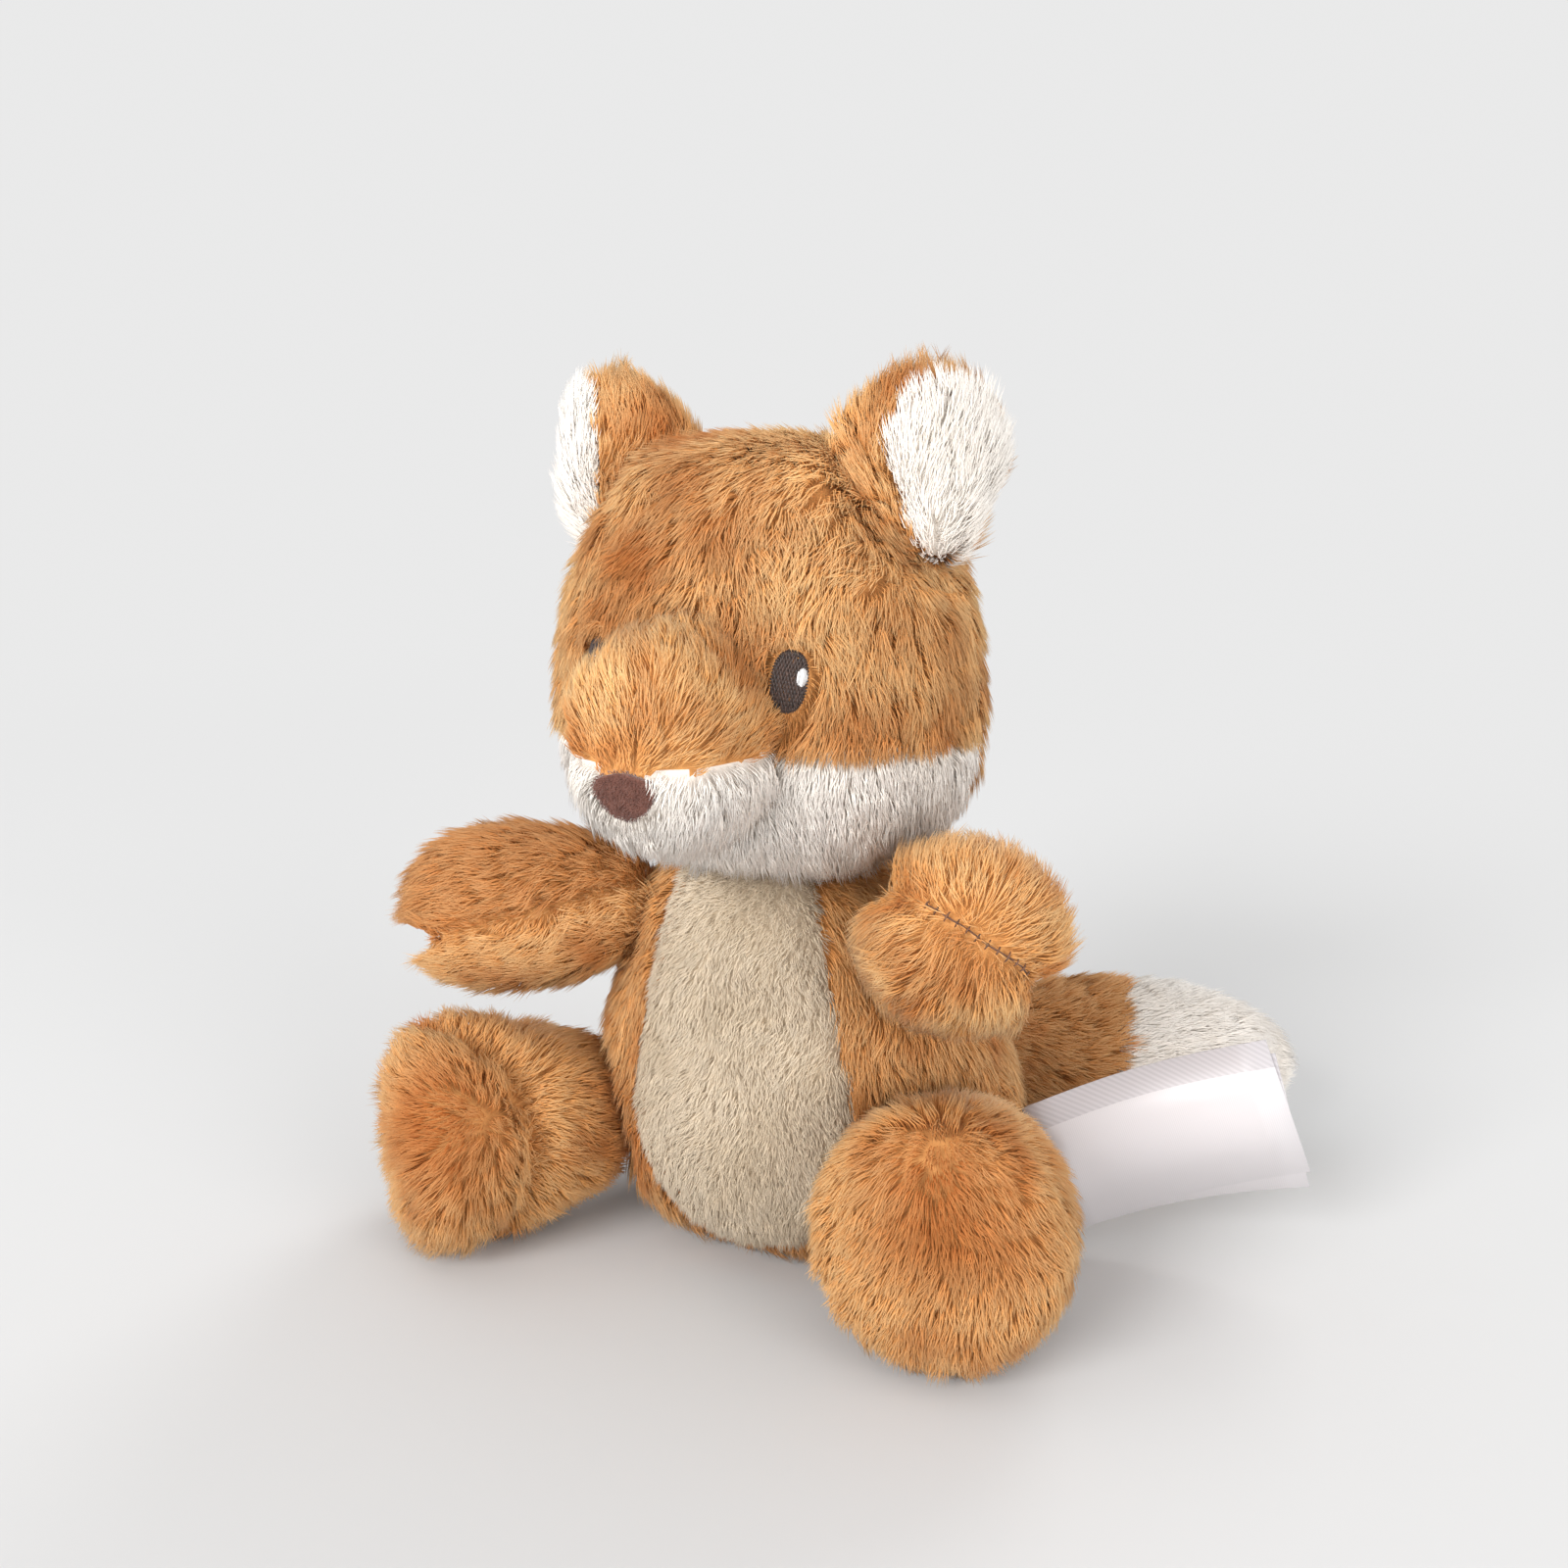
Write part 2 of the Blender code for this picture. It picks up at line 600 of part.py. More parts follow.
def build_muzzle(guide, neck):
    """The muzzle's top and underside, its filling and the nose; returns the hole it needs."""
    middle = Vector((0, 0, MUZZLE_CENTRE_HEIGHT))
    face, _ = on_surface(guide, middle, Vector((0, -1, 0)))
    root = face + Vector((0, MUZZLE_LENGTH - MUZZLE_STAND_OUT, 0))
    frame = facing(root, Vector((0, -1, 0)))
    hollow = hollow_of("muzzle_hollow", MUZZLE, frame, PILE_DEPTH, neck)
    head_clear = hide_guide(add_form("head_clear", HEAD, Matrix(), SKIN_LEVELS, cutters, GAP, neck))
    below, above = seam("muzzle_seam", Vector((0, 0, CHEEK_SEAM_HEIGHT)), Vector((0, 0, 1)), neck)
    nose_middle = Vector((0, 0, CHEEK_SEAM_HEIGHT - NOSE_HEIGHT / 2 - GAP))
    nose_frame = facing(nose_middle + Vector((0, root.y - MUZZLE_LENGTH, 0)), Vector((0, -1, 0)))
    shape = add_outline("nose_shape", nose_outline(0), MUZZLE_LENGTH, nose_frame, neck)
    wide = add_outline("nose_pocket", nose_outline(GAP), MUZZLE_LENGTH, nose_frame, neck)
    pocket = pocket_in("nose_pocket", MUZZLE, frame, wide, NOSE_THICKNESS - NOSE_RAISE + GAP, neck)
    for name, finish, half in (("muzzle_top", "orange", above), ("muzzle_underside", "white", below)):
        panel = skin(name, MUZZLE, frame, hollow, FINISHES[finish], neck)
        keep(panel, half)
        cut(panel, head_clear, pocket)
    layer_on("nose", MUZZLE, frame, shape, NOSE_RAISE, NOSE_THICKNESS, FINISHES["nose"], neck)
    filling = filling_of("muzzle_stuffing", MUZZLE, frame, PILE_DEPTH, neck)
    cut(filling, hollow_of("head_filling_clear", HEAD, Matrix(), PILE_DEPTH, neck))
    return hollow


def ear_frame(guide, side):
    """The ear's frame (+X along its fold, +Y to its back, +Z up its length), and its seat's frame."""
    rise = math.sin(EAR_RISE)
    level = math.cos(EAR_RISE)
    out = level_direction(side * EAR_SPREAD)
    heading = Vector((out.x * level, out.y * level, rise))
    point, normal = on_surface(guide, Vector((0, 0, EAR_CENTRE_HEIGHT)), heading)
    centre = point + normal * (EAR_ROOT - EAR_SUNK)
    easing = Matrix.Translation(normal * EAR_EASE)
    front = level_direction(side * EAR_FACING)
    fold = Vector((-front.y, front.x, 0))
    lean = Matrix.Rotation(side * EAR_LEAN, 4, "Y") @ Vector((0, 0, 1))
    upward = (lean - fold * lean.dot(fold)).normalized()
    back = upward.cross(fold)
    turned = Matrix((fold, back, upward)).transposed().to_4x4()
    frame = Matrix.Translation(centre) @ turned
    return frame, easing @ frame


def build_ear(guide, side, label, neck):
    """A front and a back panel sewn face to face; returns the groove that seats their root."""
    frame, seat_frame = ear_frame(guide, side)
    seat = add_ball("ear_seat_" + label, Vector(), 1, neck)
    clear = GAP + EAR_EASE
    seat.matrix_local = seat_frame @ Matrix.Diagonal((EAR_WIDTH / 2 + clear, EAR_ROOT + clear,
                                                      EAR_ROOT + clear, 1))
    bpy.context.view_layer.update()
    fold = root_empty("ear_fold_" + label, neck.matrix_world @ frame)
    front, back = seam("ear_seam_" + label, Vector((0, -EAR_SEAM_OUT, 0)), Vector((0, 1, 0)), fold)
    for name, finish, half in (("ear_front_", "white", front), ("ear_back_", "orange", back)):
        panel = add_form(name + label, EAR, Matrix(), SKIN_LEVELS, fox, parent=fold)
        paint(keep(panel, half), FINISHES[finish])
    return seat


def build_head():
    """Face, cheeks and back round the head's filling, with muzzle, nose, eyes and ears."""
    place = Matrix.Translation(Vector((NECK_SIDE, -HEAD_FORWARD, NECK_HEIGHT + GAP)))
    neck = root_empty("neck_turn", place @ Matrix.Rotation(HEAD_TURN, 4, "Z"))
    guide = hide_guide(add_form("head_guide", HEAD, Matrix(), SKIN_LEVELS, cutters, 0, neck))
    pockets = [build_eye(guide, sign, label, neck) for label, sign in both_sides()]
    muzzle_hole = build_muzzle(guide, neck)
    ear_seats = [build_ear(guide, sign, label, neck) for label, sign in both_sides()]
    hollow = hollow_of("head_hollow", HEAD, Matrix(), PILE_DEPTH, neck)
    under = add_side("head_underside", Vector((0, 0, 0)), Vector((0, 0, -1)), neck)
    neck_hole = add_rod("head_neck_hole", Vector((0, 0, 0)), Vector((0, 0, 1)),
                        NECK_RADIUS + GAP, 2 * (NECK_REACH + GAP), neck)
    low, high = seam("cheek_seam", Vector((0, 0, CHEEK_SEAM_HEIGHT)), Vector((0, 0, 1)), neck)
    fore, rear = seam("side_seam", Vector((0, SIDE_SEAM_BACK, 0)), Vector((0, 1, 0)), neck)
    panels = (("face_panel", "orange", (fore, high)),
              ("cheek_panel", "white", (fore, low)),
              ("head_back_panel", "orange", (rear,)))
    for name, finish, sides in panels:
        panel = skin(name, HEAD, Matrix(), hollow, FINISHES[finish], neck)
        cut(panel, *ear_seats, muzzle_hole, *pockets, neck_hole, under)
        keep(panel, *sides)
    filling = filling_of("head_stuffing", HEAD, Matrix(), PILE_DEPTH, neck)
    cut(filling, neck_hole, *ear_seats)


def build_arm(label, centre, heading, roll):
    """An arm of a top and an underside panel round its filling."""
    frame = facing(centre, heading)
    up = Matrix.Rotation(roll, 4, heading) @ frame.col[1].to_3d()
    hollow = hollow_of("arm_hollow_" + label, ARM, frame, PILE_DEPTH)
    below, above = seam("arm_seam_" + label, centre, up)
    for name, half in (("arm_top_", above), ("arm_underside_", below)):
        panel = skin(name + label, ARM, frame, hollow, FINISHES["orange"])
        keep(panel, half)
    filling_of("arm_stuffing_" + label, ARM, frame, PILE_DEPTH)


def build_leg(label, centre, heading):
    """A leg tube closed by a round sole, cut flat where it rests."""
    frame = facing(centre, heading)
    hollow = hollow_of("leg_hollow_" + label, LEG, frame, PILE_DEPTH)
    floor = add_side("foot_plane_" + label, Vector((0, 0, 0)), Vector((0, 0, -1)))
    sole_start = centre + heading * (LEG_LENGTH - LEG_BALL - SOLE_DEPTH)
    behind, ahead = seam("sole_seam_" + label, sole_start, heading)
    for name, half in (("leg_tube_", behind), ("foot_sole_", ahead)):
        panel = skin(name + label, LEG, frame, hollow, FINISHES["orange"])
        keep(panel, half)
        cut(panel, floor)
    filling_of("leg_stuffing_" + label, LEG, frame, PILE_DEPTH)


def build_tail(centre, heading):
    """An orange base and a white tip round one filling, bent towards the fox's left."""
    side = Vector((0, 0, 1)).cross(heading).normalized()
    frame = facing(centre, heading)
    if side.x < 0:
        frame = frame @ Matrix.Rotation(math.pi, 4, "Z")
    hollow = hollow_of("tail_hollow", TAIL, frame, PILE_DEPTH)
    seam_along = TAIL_LENGTH - TAIL_BALL - TAIL_TIP_LENGTH
    point = frame @ bent(Vector((0, 0, seam_along)), TAIL)
    after = frame @ bent(Vector((0, 0, seam_along + GAP)), TAIL)
    behind, ahead = seam("tail_seam", point, after - point)
    for name, finish, half in (("tail_base", "orange", behind), ("tail_tip", "white", ahead)):
        panel = skin(name, TAIL, frame, hollow, FINISHES[finish])
        keep(panel, half)
    filling_of("tail_stuffing", TAIL, frame, PILE_DEPTH)


def label_leaf(name, frame, length):
    """One leaf of the ribbon: a strip bowed along its length, thickened."""
    steps = CAP_SIDES // 2
    shape = bmesh.new()
    rows = []
    for k in range(steps + 1):
        share = k / steps
        along = share * length
        bow = LABEL_BOW * math.sin(math.pi * share)
        rows.append([shape.verts.new((bow, level * LABEL_HEIGHT / 2, along)) for level in (-1, 1)])
    for first, second in zip(rows, rows[1:]):
        shape.faces.new((first[0], first[1], second[1], second[0]))
    mesh = bpy.data.meshes.new(name)
    shape.to_mesh(mesh)
    shape.free()
    leaf = bpy.data.objects.new(name, mesh)
    fox.objects.link(leaf)
    leaf.matrix_world = frame
    thick = leaf.modifiers.new("ribbon", "SOLIDIFY")
    thick.thickness = LABEL_THICKNESS
    thick.offset = 0
    return paint(leaf, FINISHES["satin"])


def build_label(guide):
    """Two satin leaves that hang out of the left side seam behind the leg."""
    start = Vector((0, 0, LABEL_SEAT_HEIGHT))
    point, normal = on_surface(guide, start, level_direction(LABEL_SPREAD))
    out = level_direction(LABEL_SPREAD - LABEL_TURN, LABEL_RISE)
    root = point + Vector((normal.x, normal.y, 0)).normalized() * LABEL_CLEAR
    frame = facing(root, out)
    lean = LABEL_HEIGHT / 2 * math.tan(LABEL_RISE)
    frame = frame @ Matrix.Translation((0, 0, lean))
    label_leaf("label_front_leaf", frame, LABEL_LENGTH)
    back = frame @ Matrix.Translation((LABEL_THICKNESS + GAP, 0, 0))
    label_leaf("label_back_leaf", back @ Matrix.Rotation(LABEL_FAN, 4, "X"), LABEL_LENGTH)


def tidy_edges(thing):
    """Merge the hair-thin edges that the cuts leave."""
    weld = thing.modifiers.new("tidy", "WELD")
    weld.merge_threshold = WELD_DISTANCE


def main():
    """Build every piece of the fox."""
    guide = hide_guide(add_form("body_guide", BODY, Matrix(), SKIN_LEVELS, cutters))
    tail_heading = Vector((math.sin(TAIL_SIDE), math.cos(TAIL_SIDE), 0))
    tail_root, tail_seat = ball_seat(guide, TAIL_WIDTH / 2 + TAIL_CLEAR, tail_heading,
                                     TAIL_BALL, TAIL_SUNK, TAIL_EASE)
    seats = [tail_seat]
    arms = {"left": (ARM_OUT_LEFT, ARM_UP_LEFT, ARM_SEAM_ROLL_LEFT),
            "right": (ARM_OUT_RIGHT, ARM_UP_RIGHT, ARM_SEAM_ROLL_RIGHT)}
    legs = {"left": (LEG_OUT_LEFT, LEG_UP_LEFT, LEG_SUNK_LEFT),
            "right": (LEG_OUT_RIGHT, 0, LEG_SUNK_RIGHT)}
    for label, sign in both_sides():
        out, up, roll = arms[label]
        shoulder, arm_seat = ball_seat(guide, SHOULDER_HEIGHT, level_direction(sign * SHOULDER_SPREAD),
                                       ARM_BALL, ARM_SUNK, ARM_EASE)
        build_arm(label, shoulder, level_direction(sign * out, up), sign * roll)
        out, up, sunk = legs[label]
        hip, leg_seat = ball_seat(guide, LEG_WIDTH / 2 - SEAT_FLAT, level_direction(sign * HIP_SPREAD),
                                  LEG_BALL, sunk, LEG_EASE)
        build_leg(label, hip, level_direction(sign * out, up))
        seats += [arm_seat, leg_seat]
    build_tail(tail_root, tail_heading)
    build_body(guide, seats)
    build_head()
    build_label(guide)
    for piece in fox.objects:
        if piece.type == "MESH":
            tidy_edges(piece)
    bpy.context.view_layer.update()


clear_scene()
fox = new_collection("plush_fox")
cutters = new_collection("cutters")
FINISHES = {
    "orange": material("orange_pile", ORANGE, 0.95),
    "white": material("white_pile", WHITE, 0.95),
    "cream": material("cream_pile", CREAM, 0.95),
    "nose": material("nose_suede", NOSE_BROWN, 0.9),
    "eye": material("eye_thread", EYE_BROWN, 0.55),
    "thread": material("white_thread", THREAD_WHITE, 0.5),
    "fibre": material("fibre_filling", FIBRE, 1.0),
    "satin": material("label_satin", SATIN, 0.4),
}
main()
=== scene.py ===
"""Looks of the seated plush fox: padded forms, clumped pile, embroidered eyes, seams and label."""

import json
import logging
import math
from dataclasses import dataclass, field, replace
from enum import Enum

import bmesh
import bpy
import numpy as np
from mathutils import Matrix, Vector
from mathutils.bvhtree import BVHTree
from mathutils.kdtree import KDTree


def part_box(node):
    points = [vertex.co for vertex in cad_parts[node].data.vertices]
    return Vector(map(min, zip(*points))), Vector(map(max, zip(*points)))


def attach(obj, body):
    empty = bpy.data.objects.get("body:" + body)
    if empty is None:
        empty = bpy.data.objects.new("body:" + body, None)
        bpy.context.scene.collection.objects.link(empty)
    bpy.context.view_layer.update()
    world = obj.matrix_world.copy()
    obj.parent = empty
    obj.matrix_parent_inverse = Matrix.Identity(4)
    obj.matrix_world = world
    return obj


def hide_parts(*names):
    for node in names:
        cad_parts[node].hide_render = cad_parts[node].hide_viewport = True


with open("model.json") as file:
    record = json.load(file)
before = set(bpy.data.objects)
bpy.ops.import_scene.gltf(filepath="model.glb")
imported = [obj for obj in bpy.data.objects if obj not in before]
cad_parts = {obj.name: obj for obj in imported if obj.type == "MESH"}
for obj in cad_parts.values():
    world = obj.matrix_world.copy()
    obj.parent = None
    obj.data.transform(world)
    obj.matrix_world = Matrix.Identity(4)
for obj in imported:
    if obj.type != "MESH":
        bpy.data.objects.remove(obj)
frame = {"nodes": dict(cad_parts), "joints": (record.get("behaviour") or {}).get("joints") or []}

logging.basicConfig(level=logging.INFO, format="%(message)s")
log = logging.getLogger("plush_fox")

Array = np.ndarray
Colour = tuple[float, float, float]
Material = bpy.types.Material
Mesh = bpy.types.Mesh
Socket = bpy.types.NodeSocket
Thing = bpy.types.Object

MM = 0.001
BAKE_MAP = "OFBake"
RIBBON_MAP = "ribbon"
VECTOR = "FLOAT_VECTOR"
WELD = 0.001 * MM
SIDES = ("left", "right")
UP = Vector((0, 0, 1))
DOWN = Vector((0, 0, -1))
STILL = Vector((0, 0, 0))

# How a pile gives way to another part: how far out one is looked for, the gaps at which hairs
# stand at their full number and length, and the least share of each
SIGHT = 9 * MM
FULL_COVER_GAP = 1.2 * MM
FULL_LENGTH_GAP = 6 * MM
LEAST_COVER = 0.35
LEAST_LENGTH = 0.55

# How every pile grows: shares of its spacings and sizes, and the spreads of the random ones
ROOT_GAP, ROOT_CROWD = 0.72, 1.6
CLUMP_GAP, CLUMP_CROWD, CLUMP_SEED = 0.7, 1.6, 40
CLUMP_SIZES, CLUMP_TURN, CLUMP_TONE = (0.78, 1.16), 0.55, 0.4
HAIR_SIZES, HAIR_WIDTHS = (0.84, 1.12), (0.75, 1.25)
WAVE_SCALE, WAVE_TURN = 70.0, 4.2
BEND_SHARE, LEVEL_GAIN = 0.45, 1.4
MAP_MARGIN = 0.1
FLOOR_CLEAR = 0.2 * MM
EVENNESS = 0.9

# The thread that runs along a seam
CORD_STEP, CORD_SIDES = 1.0 * MM, 6


class Fabric(Enum):
    """The three pile fabrics that the fox is sewn from."""

    ORANGE = "orange_pile"
    WHITE = "white_pile"
    CREAM = "cream_pile"


ORANGE, WHITE, CREAM = Fabric


@dataclass(frozen=True)
class Pile:
    """How one fabric's pile grows, in metres and radians."""

    length: float
    width: float
    spacing: float
    rise: float
    droop: float
    clump_spacing: float
    clump_pull: float
    swirl: float
    stray: float
    inset: float
    seed: int = 1


@dataclass(frozen=True)
class Flow:
    """Which way a pile lies: away from a pole, and combed along a direction."""

    pole: Vector
    away: float
    comb: Vector


@dataclass(frozen=True)
class ShadedSpot:
    """A round place where the pile is parted, darkened with painted shade."""

    centre: Vector
    radius: float
    depth: float


@dataclass(frozen=True)
class Panel:
    """One sewn panel: its CAD node, its fabric, how its pile lies, where it is parted and how much painted
    shade darkens it.
    """

    node: str
    fabric: Fabric
    flow: Flow
    spots: tuple[ShadedSpot, ...] = ()
    length: float = 1.0
    edge: float = 0.8
    spread: float = 1.0
    # How far the whole panel's pile is darkened: painted shade.
    warm: float = 0.0


@dataclass(frozen=True)
class Oval:
    """A bare oval place in the pile, where an eye or the nose sits."""

    centre: Vector
    across: Vector
    upward: Vector
    half_width: float
    half_height: float
    clearing: float = 1.0

    @property
    def outward(self) -> Vector:
        """The direction straight out of the fabric."""
        return self.across.cross(self.upward).normalized()

    def reach(self, places: Array) -> Array:
        """How far out each place is, where 1 is the oval's rim.

        Args:
            places: Points in the frame, one a row.

        Returns:
            One number a point, large for points far in front or behind.
        """
        offset = places - np.array(self.centre)
        x = offset @ np.array(self.across) / self.half_width
        y = offset @ np.array(self.upward) / self.half_height
        z = offset @ np.array(self.outward) / (4 * self.half_height)
        return np.sqrt(x * x + y * y) + np.maximum(np.abs(z) - 1, 0) * 8


@dataclass(frozen=True)
class Flare:
    """A sewn ear's cupped shape: a full back that spreads at its root, and a front that narrows there."""

    label: str
    spread: float = 14 * MM
    height: float = 0.87
    back_height: float = 0.97
    foot_drop: float = 8 * MM
    turn_over: tuple[float, float] = (-1.0 * MM, 4.0 * MM)
    narrowing: float = 0.42
    narrow_part: tuple[float, float] = (0.1, 0.62)
    tip_spread: float = 0.3

    def apply(self, places: Array) -> Array:
        """Move the form's points.

        Args:
            places: Points in the frame, one a row.

        Returns:
            The moved points.
        """
        front = places_of(frame["nodes"]["ear_front_" + self.label].data).mean(axis=0)
        back = places_of(frame["nodes"]["ear_back_" + self.label].data).mean(axis=0)
        way = (back - front) * np.array([1, 1, 0])
        way /= np.linalg.norm(way)
        across = np.array([-way[1], way[0], 0])
        foot = pivot("ear_fold_" + self.label).z - self.foot_drop
        share = np.clip((places[:, 2] - foot) / (places[:, 2].max() - foot), 0, 1)
        side = smooth_step((places - (front + back) / 2) @ way, *self.turn_over)
        full = (self.tip_spread + (1 - self.tip_spread) * (1 - share) ** 1.2) * np.sqrt(1 - share ** 6)
        moved = places + way * (self.spread * full * side)[:, None]
        offset = (places - (front + back) / 2) @ across
        narrow = self.narrowing * (1 - smooth_step(share, *self.narrow_part)) * (1 - side)
        moved -= across * (offset * narrow)[:, None]
        height = self.height + (self.back_height - self.height) * side
        moved[:, 2] = foot + (moved[:, 2] - foot) * height
        return moved


@dataclass(frozen=True)
class Shoulders:
    """A body whose top slopes in to the neck."""

    start: float = 66 * MM
    share: float = 0.34
    power: float = 2.2

    def apply(self, places: Array) -> Array:
        """Move the form's points.

        Args:
            places: Points in the frame, one a row.

        Returns:
            The moved points.
        """
        neck = np.array(pivot("neck_turn"))
        rise = np.clip((places[:, 2] - self.start) / (neck[2] - self.start), 0, 1)
        moved = places.copy()
        moved[:, :2] += (neck[:2] - places[:, :2]) * (self.share * rise ** self.power)[:, None]
        return moved


@dataclass(frozen=True)
class Blunt:
    """A snout kept full at the front of its top."""

    rise: float = 4.5 * MM
    front: tuple[float, float] = (44 * MM, 56 * MM)
    top: tuple[float, float] = (107 * MM, 119 * MM)

    def apply(self, places: Array) -> Array:
        """Move the form's points.

        Args:
            places: Points in the frame, one a row.

        Returns:
            The moved points.
        """
        front = smooth_step(-places[:, 1], *self.front)
        top = smooth_step(places[:, 2], *self.top)
        moved = places.copy()
        moved[:, 2] += self.rise * front * top
        return moved


@dataclass(frozen=True)
class Shorten:
    """A limb drawn in along its length."""

    start: Vector
    end: Vector
    share: float

    def apply(self, places: Array) -> Array:
        """Move the form's points.

        Args:
            places: Points in the frame, one a row.

        Returns:
            The moved points.
        """
        axis = np.array((self.end - self.start).normalized())
        ahead = np.maximum((places - np.array(self.start)) @ axis, 0)
        return places - axis * (ahead * self.share)[:, None]


@dataclass(frozen=True)
class Seam:
    """A seam whose thread shows: its name, the stitches across it and where it shows."""

    name: str
    pitch: float
    length: float
    radius: float = 0.16 * MM
    width: float = 0.34 * MM
    proud: float = 0.9 * MM
    near: Vector | None = None
    reach: float = 1.0


PILES = {
    ORANGE: Pile(length=7.7 * MM, width=0.225 * MM, spacing=0.395 * MM, rise=0.78, droop=0.27,
                 clump_spacing=2.0 * MM, clump_pull=0.26, swirl=0.55, stray=0.34, inset=3.7 * MM),
    WHITE: Pile(length=7.4 * MM, width=0.225 * MM, spacing=0.37 * MM, rise=0.78, droop=0.30,
                clump_spacing=2.0 * MM, clump_pull=0.2, swirl=0.36, stray=0.34, inset=3.6 * MM),
    CREAM: Pile(length=3.9 * MM, width=0.2 * MM, spacing=0.365 * MM, rise=0.8, droop=0.42,
                clump_spacing=1.7 * MM, clump_pull=0.14, swirl=0.7, stray=0.5, inset=2.2 * MM),
}


@dataclass(frozen=True)
class PileFinish:
    """Colours of a pile from its roots to its tips, linear, and how it takes light."""

    name: str
    root: Colour
    middle: Colour
    tip: Colour
    # The darkest colour: painted shade for parted pile, shaded panels and seams, and also the colour of
    # random darker patches.
    dark_patch_and_shade: Colour
    darkest: float = 0.86
    lightest: float = 1.1
    roughness: float = 0.62
    sheen: float = 0.04
    specular: float = 0.22
    patch_scale: float = 58
    patch_range: tuple[float, float] = (-1.2, 1.65)

    def material(self) -> Material:
        """The hair's material: root to tip along each hair, with painted shade where the pile is parted,
        on shaded panels and beside seams, and random darker patches.
        """
        shader = ShaderTree(self.name)
        along, tone, warm = (shader.attribute(name) for name in ("along", "tone", "warm"))
        fresh = shader.ramp(along, ((0.0, self.root), (0.5, self.middle), (1.0, self.tip)))
        # Painted shade: hairs blend to the darkest colour where the painted shade attribute asks, and in
        # random noise patches.
        patch_and_shade_tip = tuple(0.7 * low + 0.3 * high for low, high in zip(self.dark_patch_and_shade, self.middle))
        patch_and_shade_colour = shader.ramp(along, ((0.0, self.dark_patch_and_shade), (0.5, self.dark_patch_and_shade), (1.0, patch_and_shade_tip)))
        patches = shader.range(shader.noise(scale=self.patch_scale, detail=2), *self.patch_range)
        colour = shader.mix(shader.most(warm, patches), fresh, patch_and_shade_colour)
        shader.set({"Base Color": shader.tinted(colour, shader.range(tone, self.darkest, self.lightest)),
                    "Roughness": self.roughness, "Sheen Weight": self.sheen, "Sheen Roughness": 0.5,
                    "Specular IOR Level": self.specular})
        return shader.material

    def backing(self) -> Material:
        """The cloth under the hair: knitted, in the colour of the roots."""
        shader = ShaderTree(self.name + "_backing")
        knit = shader.noise(scale=900, detail=2)
        shader.set({"Base Color": shader.ramp(knit, ((0.25, self.root), (0.8, self.middle))),
                    "Roughness": 0.9})
        shader.bump(knit, strength=0.4, distance=0.3 * MM)
        return shader.material


# Each finish's last colour is painted shade for parted, shaded and seam places, and also the colour of
# random darker patches.
FINISHES = {
    ORANGE: PileFinish("orange_pile", root=(0.63, 0.28, 0.084), middle=(0.77, 0.375, 0.122),
                       tip=(0.92, 0.635, 0.32), dark_patch_and_shade=(0.43, 0.122, 0.020)),
    WHITE: PileFinish("white_pile", root=(0.95, 0.86, 0.76), middle=(0.975, 0.915, 0.845),
                      tip=(0.99, 0.94, 0.885), dark_patch_and_shade=(0.95, 0.87, 0.78), darkest=0.95, lightest=1.04),
    CREAM: PileFinish("cream_pile", root=(0.63, 0.505, 0.36), middle=(0.69, 0.565, 0.415),
                      tip=(0.76, 0.645, 0.50), dark_patch_and_shade=(0.60, 0.475, 0.33)),
}


@dataclass(frozen=True)
class ThreadFinish:
    """Satin-stitch thread: a colour with a soft shine and a fine twist."""

    name: str
    colour: Colour
    shade: Colour
    roughness: float = 0.42

    def material(self) -> Material:
        """The thread's material, with its twist as bump."""
        shader = ShaderTree(self.name)
        twist = shader.noise(scale=2600, detail=1)
        fresh = shader.ramp(twist, ((0.3, self.shade), (0.7, self.colour)))
        shader.set({"Base Color": shader.tinted(fresh, shader.range(shader.attribute("tone"), 0.7, 1.3)),
                    "Roughness": self.roughness, "Sheen Weight": 0.2})
        shader.bump(twist, strength=0.35, distance=0.1 * MM)
        return shader.material


@dataclass(frozen=True)
class SuedeFinish:
    """The nose's brushed brown fabric."""

    name: str
    dark: Colour
    light: Colour

    def material(self) -> Material:
        """A mottled matt nap."""
        shader = ShaderTree(self.name)
        mottle = shader.noise(scale=700, detail=4)
        shader.set({"Base Color": shader.ramp(mottle, ((0.3, self.dark), (0.72, self.light))),
                    "Roughness": 0.95, "Sheen Weight": 0.5, "Sheen Roughness": 0.4})
        shader.bump(shader.noise(scale=3800, detail=2), strength=0.6, distance=0.25 * MM)
        return shader.material


@dataclass(frozen=True)
class SatinFinish:
    """The label's woven satin ribbon, with a twill hem along its upper edge."""

    name: str
    face: Colour
    hem: Colour
    hem_share: float

    def material(self) -> Material:
        """A fine weave that reads the ribbon's own map, with a diagonal twill on the hem."""
        shader = ShaderTree(self.name)
        weave = shader.ribs("X", 2600 * 2 * math.pi / 20, distortion=0.4)
        twill = shader.ribs("DIAGONAL", 700 * 2 * math.pi / 10)
        hem = shader.number("GREATER_THAN", shader.attribute("height_share"), self.hem_share)
        pattern = shader.mix(hem, shader.range(weave, 0.94, 1.0), shader.range(twill, 0.86, 1.0))
        shader.set({"Base Color": shader.tinted(shader.mix(hem, self.face, self.hem), pattern),
                    "Roughness": shader.range(pattern, 0.5, 0.36), "Sheen Weight": 0.15})
        shader.bump(pattern, strength=0.5, distance=0.05 * MM)
        return shader.material


